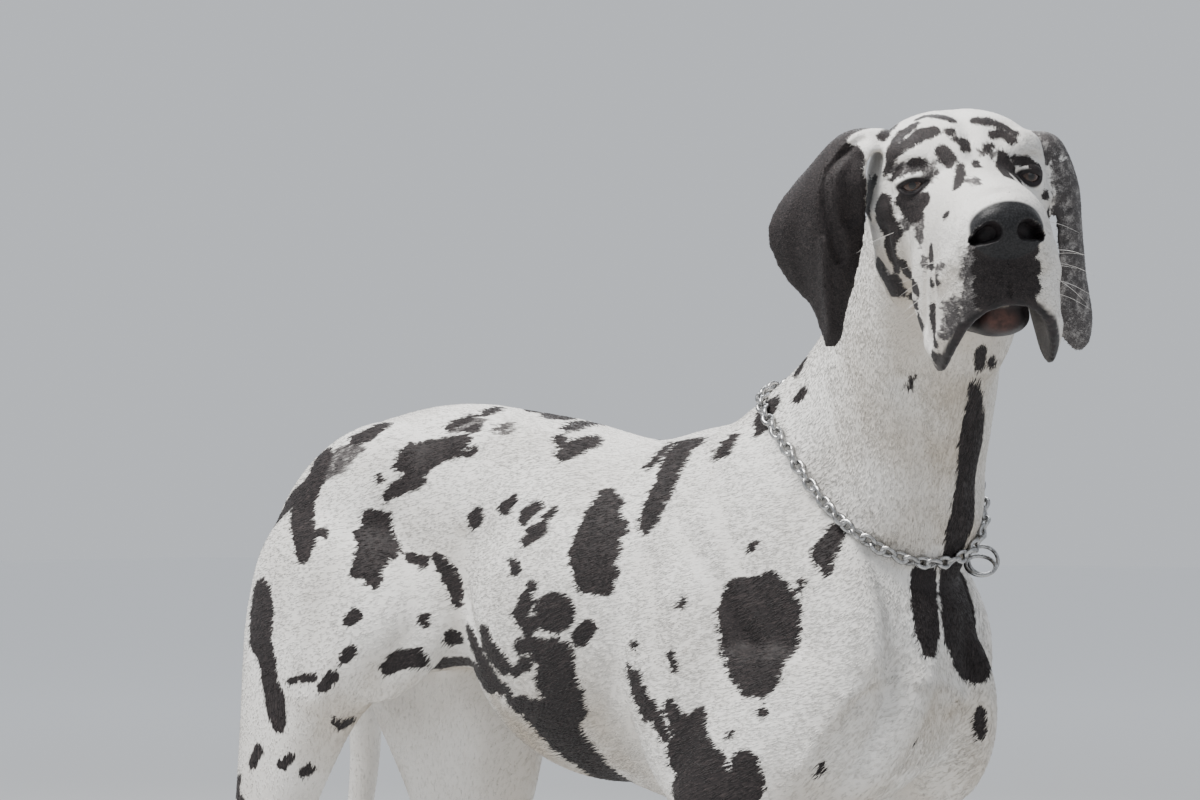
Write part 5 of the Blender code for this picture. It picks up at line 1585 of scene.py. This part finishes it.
def coat_material(name, relief, brightness=None, **values):
    """Harlequin coat on a shader; the tufts also vary from one to the next in brightness."""
    made, tree, shader = new_material(name, **values)
    inputs = {socket: attribute(tree, name, "Vector" if socket in COAT_VECTORS else "Fac")
              for socket, name in COAT_READS.items()}
    look = node(tree, "Group", inputs, node_tree=coat).outputs
    colour = look["Colour"]
    if brightness:
        shade = times(attribute(tree, brightness), TUFT_RANGE)
        shade = plus(TUFT_DARKEST, shade)
        colour = node(tree, "HueSaturation", {"Color": colour, "Value": shade}).outputs["Color"]
    tree.links.new(colour, shader.inputs["Base Color"])
    tree.links.new(look["Roughness"], shader.inputs["Roughness"])
    if relief:
        bumped(tree, shader, look["Height"], relief)
    return made


skin_coat = coat_material("harlequin_skin", 0.00045, Specular_IOR_Level=0.22, Sheen_Weight=0.04,
                          Sheen_Roughness=0.45)
skin.data.materials.clear()
dressed(skin, skin_coat)
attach(skin, "root")
FLESH = [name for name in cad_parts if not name.startswith(("eye_", "collar"))]
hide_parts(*FLESH)
print("skin replaces", len(FLESH), "nodes")

# %% [markdown]
# A dog's eye is nearly all iris, with a round pupil and a clear bulging cornea. Each eyeball is a sphere whose
# pole looks along the gaze, so that its rings run round the pupil, and the distance from the gaze is kept as an
# attribute that paints pupil, iris and white.

# %% Eyeballs
# How far from the gaze, in radians, the pupil, the iris and the cornea reach
PUPIL, IRIS, CORNEA = 0.24, 0.74, 0.86
CORNEA_RISE = 0.045
IRIS_DARK, IRIS_BROWN, IRIS_RIM = (0.024, 0.010, 0.006), (0.070, 0.030, 0.015), (0.014, 0.009, 0.008)
PUPIL_BLACK, EYE_WHITE, EYE_RED = (0.002, 0.002, 0.002), (0.20, 0.15, 0.13), (0.12, 0.060, 0.050)


def eyeball(side):
    """One eyeball in its socket, with the cornea raised a little."""
    centre, gaze = eye_axes(side)[:2]
    bm = bmesh.new()
    bmesh.ops.create_uvsphere(bm, u_segments=48, v_segments=40, radius=EYE_RADIUS)
    turn = (HEAD_AXES @ gaze).to_track_quat("Z", "Y").to_matrix().to_4x4()
    angles = []
    for vert in bm.verts:
        angle = vert.co.angle(Vector((0, 0, 1)))
        angles.append(angle)
        vert.co *= 1 + CORNEA_RISE * max(0, 1 - (angle / CORNEA) ** 2)
    bmesh.ops.transform(bm, matrix=Matrix.Translation(ROW_HEAD @ centre) @ turn, verts=bm.verts)
    bmesh.ops.recalc_face_normals(bm, faces=bm.faces)
    ball = piece_of("eyeball_right" if side < 0 else "eyeball_left", bm)
    keep(ball, "angle", angles)
    return ball


eye_look, tree, shader = new_material("wet_eye", Roughness=0.20, Coat_Weight=0.6, Coat_Roughness=0.02,
                                      Specular_IOR_Level=0.25)
angle = attribute(tree, "angle")
place = own_place(tree)
fibres = noise(place, 1400, 3, 0.7)
iris = blend(between(fibres, 0.35, 0.70), IRIS_DARK, IRIS_BROWN)
iris = blend(between(angle, IRIS - 0.18, IRIS), iris, IRIS_RIM)
white = blend(between(noise(place, 500, 3), 0.4, 0.7), EYE_WHITE, EYE_RED)
colour = blend(between(angle, PUPIL - 0.02, PUPIL + 0.03), PUPIL_BLACK, iris)
colour = blend(between(angle, IRIS, IRIS + 0.06), colour, white)
tree.links.new(colour, shader.inputs["Base Color"])
for side in (-1, 1):
    ball = eyeball(side)
    dressed(ball, eye_look)
    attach(ball, "root")
    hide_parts("eye_right" if side < 0 else "eye_left")
print("eyeballs", 2, "radius", EYE_RADIUS)

# %% [markdown]
# Claws are short, thick and worn blunt. Each is a small tube of horn that leaves the toe and bends down to
# just above the floor.

# %% Claws
# Place and radius along a claw, from the toe to its blunt tip
CLAW = (
    ((0.046, 0, 0.019), 0.0052),
    ((0.057, 0, 0.018), 0.0049),
    ((0.066, 0, 0.013), 0.0038),
    ((0.070, 0, 0.007), 0.0017),
)
HORN_DARK, HORN_PALE = (0.014, 0.011, 0.010), (0.060, 0.047, 0.038)

bm = bmesh.new()
for at in PAWS.values():
    for sideways, back in TOES:
        spread = Matrix.Rotation(sideways * TOE_SPREAD, 4, "Z")
        root = at + TO_ORIGIN + Vector((back, sideways, 0))
        tube(bm, [(root + spread @ Vector(place), radius) for place, radius in CLAW], 12)
claw_piece = piece_of("claws", bm)
horn, tree, shader = new_material("claw_horn", Specular_IOR_Level=0.45)
lines = node(tree, "Mapping", {"Vector": own_place(tree), "Scale": (6, 1, 1)},
             vector_type="TEXTURE").outputs["Vector"]
grain = noise(lines, 700, 3, 0.6)
tree.links.new(blend(between(grain, 0.35, 0.7), HORN_DARK, HORN_PALE), shader.inputs["Base Color"])
tree.links.new(plus(0.30, times(grain, 0.3)), shader.inputs["Roughness"])
bumped(tree, shader, grain, 0.0002)
dressed(claw_piece, horn)
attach(claw_piece, "root")
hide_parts(*[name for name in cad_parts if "paw" in name])
print("claws", 4 * len(PAWS))

# %% [markdown]
# The collar is a steel choke chain of twisted curb links. Its route is found by looking in at the skin from all
# round the foot of the neck, and the links stand on it alternately to the left and right, each one a ring of
# wire that is spun, pulled long and twisted.

# %% Route of the chain
CHAIN_AT = Vector((0.268, 0.102, 0.805))
CHAIN_FACING = Vector((0.70, -0.40, 0.58)).normalized()
CHAIN_SAG = 0.045
CHAIN_TURNS = 240
LINK_PITCH, LINK_LENGTH, LINK_WIDTH, WIRE = 0.0108, 0.0186, 0.0138, 0.0023
LINK_LIFT = 0.0050
LINK_TILT = 36

SKIN_TREE = surface_of(skin)


def chain_route():
    """Evenly spaced places on the skin round the neck, with the outward direction at each."""
    across = Vector((0, 1, 0))
    ahead = across.cross(CHAIN_FACING).normalized()
    across = CHAIN_FACING.cross(ahead)
    hits = []
    for i in range(CHAIN_TURNS):
        angle = 2 * pi * i / CHAIN_TURNS
        out = ahead * cos(angle) + across * sin(angle)
        low = CHAIN_AT - CHAIN_FACING * CHAIN_SAG * max(0, -cos(angle)) ** 3
        hits.append(np.array(SKIN_TREE.ray_cast(low + out * 0.25, -out)[0]))
    hits = np.array(hits)
    # A pulled chain spans small hollows, so the route is evened out
    for _ in range(6):
        hits = (np.roll(hits, 1, 0) + 2 * hits + np.roll(hits, -1, 0)) / 4
    lengths = np.concatenate([[0], np.cumsum(np.linalg.norm(np.roll(hits, -1, 0) - hits, axis=1))])
    count = 2 * round(lengths[-1] / LINK_PITCH / 2)
    wanted = np.arange(count) * lengths[-1] / count
    closed = np.vstack([hits, hits[:1]])
    places = [Vector([np.interp(w, lengths, closed[:, axis]) for axis in range(3)]) for w in wanted]
    return places, lengths[-1]


route, chain_length = chain_route()
print("chain", round(chain_length, 3), "m long,", len(route), "links")

# %% One link
LINK_TWIST = 70


def wire_ring(radius, wire, around, section):
    """A ring of round wire, lying flat round the origin: one circle spun about Z."""
    bm = bmesh.new()
    made = bmesh.ops.create_circle(bm, segments=section, radius=wire,
                                   matrix=Matrix.Translation((radius, 0, 0)) @ Matrix.Rotation(pi / 2, 4, "X"))
    edges = list({edge for vert in made["verts"] for edge in vert.link_edges})
    bmesh.ops.spin(bm, geom=made["verts"] + edges, cent=(0, 0, 0), axis=(0, 0, 1), angle=2 * pi, steps=around,
                   use_merge=True, use_normal_flip=False)
    bmesh.ops.remove_doubles(bm, verts=bm.verts, dist=0.00001)
    bmesh.ops.recalc_face_normals(bm, faces=bm.faces)
    return bm


def curb_link():
    """One link: a wire ring pulled long and twisted by a quarter of a turn from end to end."""
    bm = wire_ring(1.0, 0.001, 20, 8)
    half_length, half_width = LINK_LENGTH / 2 - WIRE, LINK_WIDTH / 2 - WIRE
    for vert in bm.verts:
        turn = np.arctan2(vert.co.y, vert.co.x)
        middle = Vector((cos(turn), sin(turn), 0))
        swell = (vert.co - middle) * WIRE / 0.001
        vert.co = Vector((middle.x * half_length, middle.y * half_width, 0)) + swell
        vert.co = Matrix.Rotation(radians(LINK_TWIST) * vert.co.x / LINK_LENGTH, 3, "X") @ vert.co
    return bm


link = curb_link()
link_mesh = bpy.data.meshes.new("link")
link.to_mesh(link_mesh)
link.free()
print("link faces", len(link_mesh.polygons))

# %% Links on the route
# A link whose place on the evened route is closer to the skin than this lies on the skin itself
CLOSE_TO_SKIN = 0.004

chain_form = bmesh.new()
for i, place in enumerate(route):
    near, out, _, _ = SKIN_TREE.find_nearest(place)
    above = max((place - near).dot(out), 0)
    along = (route[(i + 1) % len(route)] - route[i - 1]).normalized()
    out = (out - along * out.dot(along)).normalized()
    turn = Matrix((along, out.cross(along), out)).transposed().to_4x4()
    turn = turn @ Matrix.Rotation(radians(LINK_TILT if i % 2 else -LINK_TILT), 4, "X")
    start = len(chain_form.verts)
    chain_form.from_mesh(link_mesh)
    chain_form.verts.ensure_lookup_table()
    centre = (near if above < CLOSE_TO_SKIN else place) + out * LINK_LIFT
    bmesh.ops.transform(chain_form, matrix=Matrix.Translation(centre) @ turn, verts=chain_form.verts[start:])
print("links", len(route))

# %% End rings and steel
# The two end rings hang at the front, one caught in the other: place, and the way the ring faces
RINGS = (
    (Vector((0.350, 0.132, 0.696)), Vector((0.38, -0.50, 0.75))),
    (Vector((0.338, 0.138, 0.705)), Vector((0.55, -0.75, 0.30))),
)
RING_RADIUS, RING_WIRE, RING_OFF_SKIN = 0.0140, 0.0019, 0.0008
STEEL_BRIGHT, STEEL_WORN = (0.46, 0.46, 0.46), (0.17, 0.165, 0.16)

for at, facing in RINGS:
    ring = wire_ring(RING_RADIUS, RING_WIRE, 48, 12)
    turn = facing.to_track_quat("Z", "Y").to_matrix()
    out = SKIN_TREE.find_nearest(at)[1]
    spots = [at + turn @ vert.co for vert in ring.verts]
    nearest = [SKIN_TREE.find_nearest(spot)[:2] for spot in spots]
    depth = min((spot - near).dot(upright) for spot, (near, upright) in zip(spots, nearest))
    at = at + out * max(0, RING_OFF_SKIN - depth)
    bmesh.ops.transform(ring, matrix=Matrix.Translation(at) @ turn.to_4x4(), verts=ring.verts)
    pour(ring, chain_form)
chain = piece_of("steel_chain", chain_form)
steel, tree, shader = new_material("chain_steel", Metallic=1.0, Specular_IOR_Level=0.5)
place = own_place(tree)
wear = noise(place, 260, 4, 0.65)
scratch = noise(place, 2600, 2, 0.6)
tree.links.new(blend(between(wear, 0.40, 0.72), STEEL_BRIGHT, STEEL_WORN), shader.inputs["Base Color"])
tree.links.new(plus(0.14, times(wear, 0.34)), shader.inputs["Roughness"])
bumped(tree, shader, scratch, 0.00006)
dressed(chain, steel)
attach(chain, "root")
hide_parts("collar_chain")
print("chain faces", len(chain.data.polygons))

# %% [markdown]
# The coat is short, dense and flat. Over the painted skin lie many thin tufts, each a closed sliver of four
# faces: two corners at the root, a tip, and a low ridge between them. They follow the lie of the hair, and
# carry the values of the skin at their root, so that every tuft is wholly black, white or grey. They are
# far too many to model one by one, so their arrays are computed at once.

# %% Where tufts grow
TUFT_SHARE = 1
# How wide the bare edge of the lids is, and how high above the floor the coat starts
BARE_LID, COAT_FROM = 0.0046, 0.007
rng = np.random.default_rng(7)


def skin_triangles(obj):
    """Corners, vertex numbers, areas and middles of the skin's triangles."""
    obj.data.calc_loop_triangles()
    corners = np.empty(len(obj.data.loop_triangles) * 3, np.int32)
    obj.data.loop_triangles.foreach_get("vertices", corners)
    corners = corners.reshape(-1, 3)
    co, normal = places_of(obj)
    a, b, c = co[corners[:, 0]], co[corners[:, 1]], co[corners[:, 2]]
    return co, normal, corners, np.linalg.norm(np.cross(b - a, c - a), axis=1) / 2, (a + b + c) / 3


co, normal, corners, areas, middles = skin_triangles(skin)
middle_local = in_head(middles, ROW_HEAD)
middle_shares = lie_shares(middles)
middle_bare = np.maximum(np.maximum(leather, lip), chin)[corners].max(1)
grows = (middle_bare < 0.6) & (middles[:, 2] > COAT_FROM)
for side in (-1, 1):
    grows &= np.linalg.norm(middle_local - np.array(eye_axes(side)[0]), axis=1) > EYE_RADIUS + BARE_LID
on_head = middle_shares[:, 0] > 0.5
on_neck = ~on_head & (middle_shares[:, 1] > 0.5)
low = ~on_head & ~on_neck & (middles[:, 2] < 0.50) & ~((middles[:, 0] > -0.22) & (middles[:, 0] < 0.05))
x = middles[:, 0]
high = ~on_head & ~on_neck & ~low
on_face = on_head & (middle_local[:, 0] > -0.035) & (np.abs(middle_local[:, 1]) < 0.082)
# Where each part of the coat grows, and how many tufts it has
PARTS = {
    "face": (on_face, 46000),
    "skull_and_ears": (on_head & ~on_face, 46000),
    "neck": (on_neck, 42000),
    "shoulders": (high & (x > 0.06), 42000),
    "ribs": (high & (x <= 0.06) & (x > -0.17), 42000),
    "rump": (high & (x <= -0.17), 44000),
    "legs": (low, 48000),
}
print("square metres of coat", round(float(areas[grows].sum()), 2))

# %% Unwrap of the tufts
# Each tuft has its own small patch on the unwrap
PATCH = 0.003
PATCH_CORNERS = np.array(((0, 0), (PATCH, 0), (PATCH / 2, PATCH / 2), (PATCH / 2, PATCH)))


def unit(vectors):
    """The same directions, one long."""
    return vectors / np.maximum(np.linalg.norm(vectors, axis=1), 1e-9)[:, None]


def wrapped(points, start, end):
    """Places on an unwrap round the line from start to end, from 0 to 1 both ways."""
    start, end = np.array(start, float), np.array(end, float)
    line = end - start
    along = (points - start) @ line / (line @ line)
    across = unit(np.cross(line, (0.3, 1.0, 0.2))[None])[0]
    upward = np.cross(line, across) / np.linalg.norm(line)
    out = points - start
    return np.stack([np.arctan2(out @ across, out @ upward) / (2 * pi) + 0.5, np.clip(along, 0, 1)], axis=1)


def unwrap(part, points):
    """Where each tuft lies on the unwrap: round the head, the neck or the trunk, or round each of the legs."""
    if part == "legs":
        paws = [np.array(at + TO_ORIGIN) for at in PAWS.values()]
        nearest = np.argmin([np.hypot(*(points - paw)[:, :2].T) for paw in paws], axis=0)
        uv = np.zeros((len(points), 2))
        for i, paw in enumerate(paws):
            mine = nearest == i
            uv[mine] = wrapped(points[mine], paw, paw + (0, 0, 0.52)) * (0.24, 0.98) + (0.25 * i, 0.01)
        return uv
    if part in ("face", "skull_and_ears"):
        line = [ROW_HEAD @ Vector(place) for place in ((-0.18, 0, -0.04), (0.16, 0, -0.05))]
    elif part == "neck":
        line = ((0.16, 0.104, 0.66), (0.43, -0.05, 1.03))
    else:
        line = ((-0.50, 0.104, 0.66), (0.36, 0.104, 0.66))
    return wrapped(points, *line) * 0.98 + 0.01


print("patch of a tuft", PATCH)

# %% Shape of a tuft
# On the head, neck, legs and trunk: how long a tuft is, and the way it lies
LENGTHS = np.array((0.0031, 0.0060, 0.0052, 0.0068))
LIE_WAYS = np.array([way.normalized() for way in (HEAD_WAY, NECK_WAY, LEG_WAY, TRUNK_WAY)])
LIE_SCATTER = 0.11
LIFT_DEGREES = (2.0, 7.0)
TUFT_WIDTH, TUFT_RISE, ROOT_DEPTH = 0.22, 0.00018, 0.0004
# How far along a tuft its ridge is highest
RIDGE_AT = 0.45
# How much longer the hair is underneath, and how short it is on the paws, up to their top
LONGER_BELOW, PAW_SHARE, PAW_HAIR_TOP = 0.45, 0.6, 0.08
# Corners of each face: 0 and 1 at the root, 2 on the ridge and 3 at the tip
FACES = np.array(((0, 3, 1), (0, 2, 3), (1, 3, 2), (0, 1, 2)))


def grow_tufts(part, faces, count):
    """One piece of coat: tufts on the given faces of the skin."""
    numbers = np.nonzero(faces & grows)[0]
    chance = areas[numbers] / areas[numbers].sum()
    face = numbers[rng.choice(len(numbers), count, p=chance)]
    share = rng.random((count, 2))
    flip = share.sum(1) > 1
    share[flip] = 1 - share[flip]
    share = np.column_stack([1 - share.sum(1), share])[:, :, None]
    root = (co[corners[face]] * share).sum(1)
    up = unit((normal[corners[face]] * share).sum(1))
    values = coat_values(root, up)
    shares = values["lie"]
    shares = np.column_stack([shares, 1 - shares.sum(1)])
    lie = shares @ LIE_WAYS + rng.normal(0, LIE_SCATTER, (count, 3))
    lie = unit(lie - up * (lie * up).sum(1)[:, None])
    side = np.cross(up, lie)
    length = (shares @ LENGTHS) * rng.uniform(0.75, 1.25, count)
    length *= 1 + LONGER_BELOW * (1 - eased(up[:, 2], -0.9, -0.2)) * (1 - shares[:, 0])
    length *= np.where(root[:, 2] < PAW_HAIR_TOP, PAW_SHARE, 1.0)
    lift = np.radians(rng.uniform(*LIFT_DEGREES, count))[:, None]
    width = (length * TUFT_WIDTH * rng.uniform(0.8, 1.3, count))[:, None]
    length = length[:, None]
    base = root - up * ROOT_DEPTH
    points = np.stack([
        base + side * width / 2, base - side * width / 2,
        root + lie * length * RIDGE_AT + up * (TUFT_RISE + length * RIDGE_AT * np.sin(lift)),
        root + lie * length * np.cos(lift) + up * length * np.sin(lift)], axis=1)
    mesh = bpy.data.meshes.new("coat_" + part)
    mesh.vertices.add(4 * count)
    mesh.vertices.foreach_set("co", points.astype(np.float32).ravel())
    loops = (4 * np.arange(count)[:, None, None] + FACES[None]).astype(np.int32)
    mesh.loops.add(12 * count)
    mesh.loops.foreach_set("vertex_index", loops.ravel())
    mesh.polygons.add(4 * count)
    mesh.polygons.foreach_set("loop_start", (3 * np.arange(4 * count)).astype(np.int32))
    mesh.update(calc_edges=True)
    uv = unwrap(part, root)[:, None, None, :] + PATCH_CORNERS[FACES][None]
    mesh.uv_layers.new(name="OFBake").data.foreach_set("uv", uv.astype(np.float32).ravel())
    obj = placed("coat_" + part, mesh)
    keep_coat(obj, root, values, 4)
    keep(obj, "shade", np.repeat(rng.random(count), 4))
    return obj


print("longest tufts", float(LENGTHS.max()))

# %% Growing the coat
tuft_coat = coat_material("harlequin_tufts", 0, "shade", Specular_IOR_Level=0.22, Sheen_Weight=0.05,
                          Sheen_Roughness=0.5)
tufts = 0
for part, (faces, count) in PARTS.items():
    piece = grow_tufts(part, faces, int(count * TUFT_SHARE))
    piece.data.materials.append(tuft_coat)
    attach(piece, "root")
    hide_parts(*FLESH)
    tufts += len(piece.data.polygons) // 4
    print("coat_" + part, len(piece.data.polygons), "triangles")
print("tufts", tufts)

# %% [markdown]
# A few stiff whiskers stand on each side of the muzzle, and one on each cheek. Each is a thin tapering tube
# with a slight bend.

# %% Whiskers
# In the head frame: root, and the way the whisker points
WHISKERS = (
    ((0.112, 0.042, -0.050), (0.5, 0.8, -0.1)), ((0.104, 0.045, -0.062), (0.3, 0.9, -0.3)),
    ((0.096, 0.046, -0.076), (0.1, 0.9, -0.4)), ((0.088, 0.047, -0.056), (0.0, 1.0, 0.0)),
    ((0.080, 0.048, -0.088), (-0.1, 0.9, -0.4)), ((0.070, 0.048, -0.068), (-0.2, 1.0, -0.1)),
    ((0.118, 0.036, -0.072), (0.6, 0.6, -0.5)), ((-0.020, 0.060, -0.040), (0.1, 0.9, -0.3)),
)
WHISKER_LENGTH, WHISKER_RADIUS = 0.034, 0.00024
BRISTLE_PALE, BRISTLE_DARK = (0.75, 0.73, 0.70), (0.45, 0.42, 0.39)

bm = bmesh.new()
for side in (-1, 1):
    for (x, y, z), way in WHISKERS:
        root = SKIN_TREE.find_nearest(ROW_HEAD @ Vector((x, y * side, z)))[0]
        way = (HEAD_AXES @ Vector((way[0], way[1] * side, way[2]))).normalized()
        length = WHISKER_LENGTH * rng.uniform(0.6, 1.15)
        sag = Vector((0, 0, -0.10 * length))
        tube(bm, [(root - way * 0.001, WHISKER_RADIUS), (root + way * length * 0.5, WHISKER_RADIUS * 0.8),
                  (root + way * length + sag, WHISKER_RADIUS * 0.25)], 5)
whiskers = piece_of("whiskers", bm)
bristle, tree, shader = new_material("whisker_bristle", Roughness=0.35, Specular_IOR_Level=0.5)
tone = noise(own_place(tree), 60, 2)
tree.links.new(blend(between(tone, 0.3, 0.7), BRISTLE_PALE, BRISTLE_DARK), shader.inputs["Base Color"])
dressed(whiskers, bristle)
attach(whiskers, "root")
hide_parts("head")
print("whiskers", 2 * len(WHISKERS))
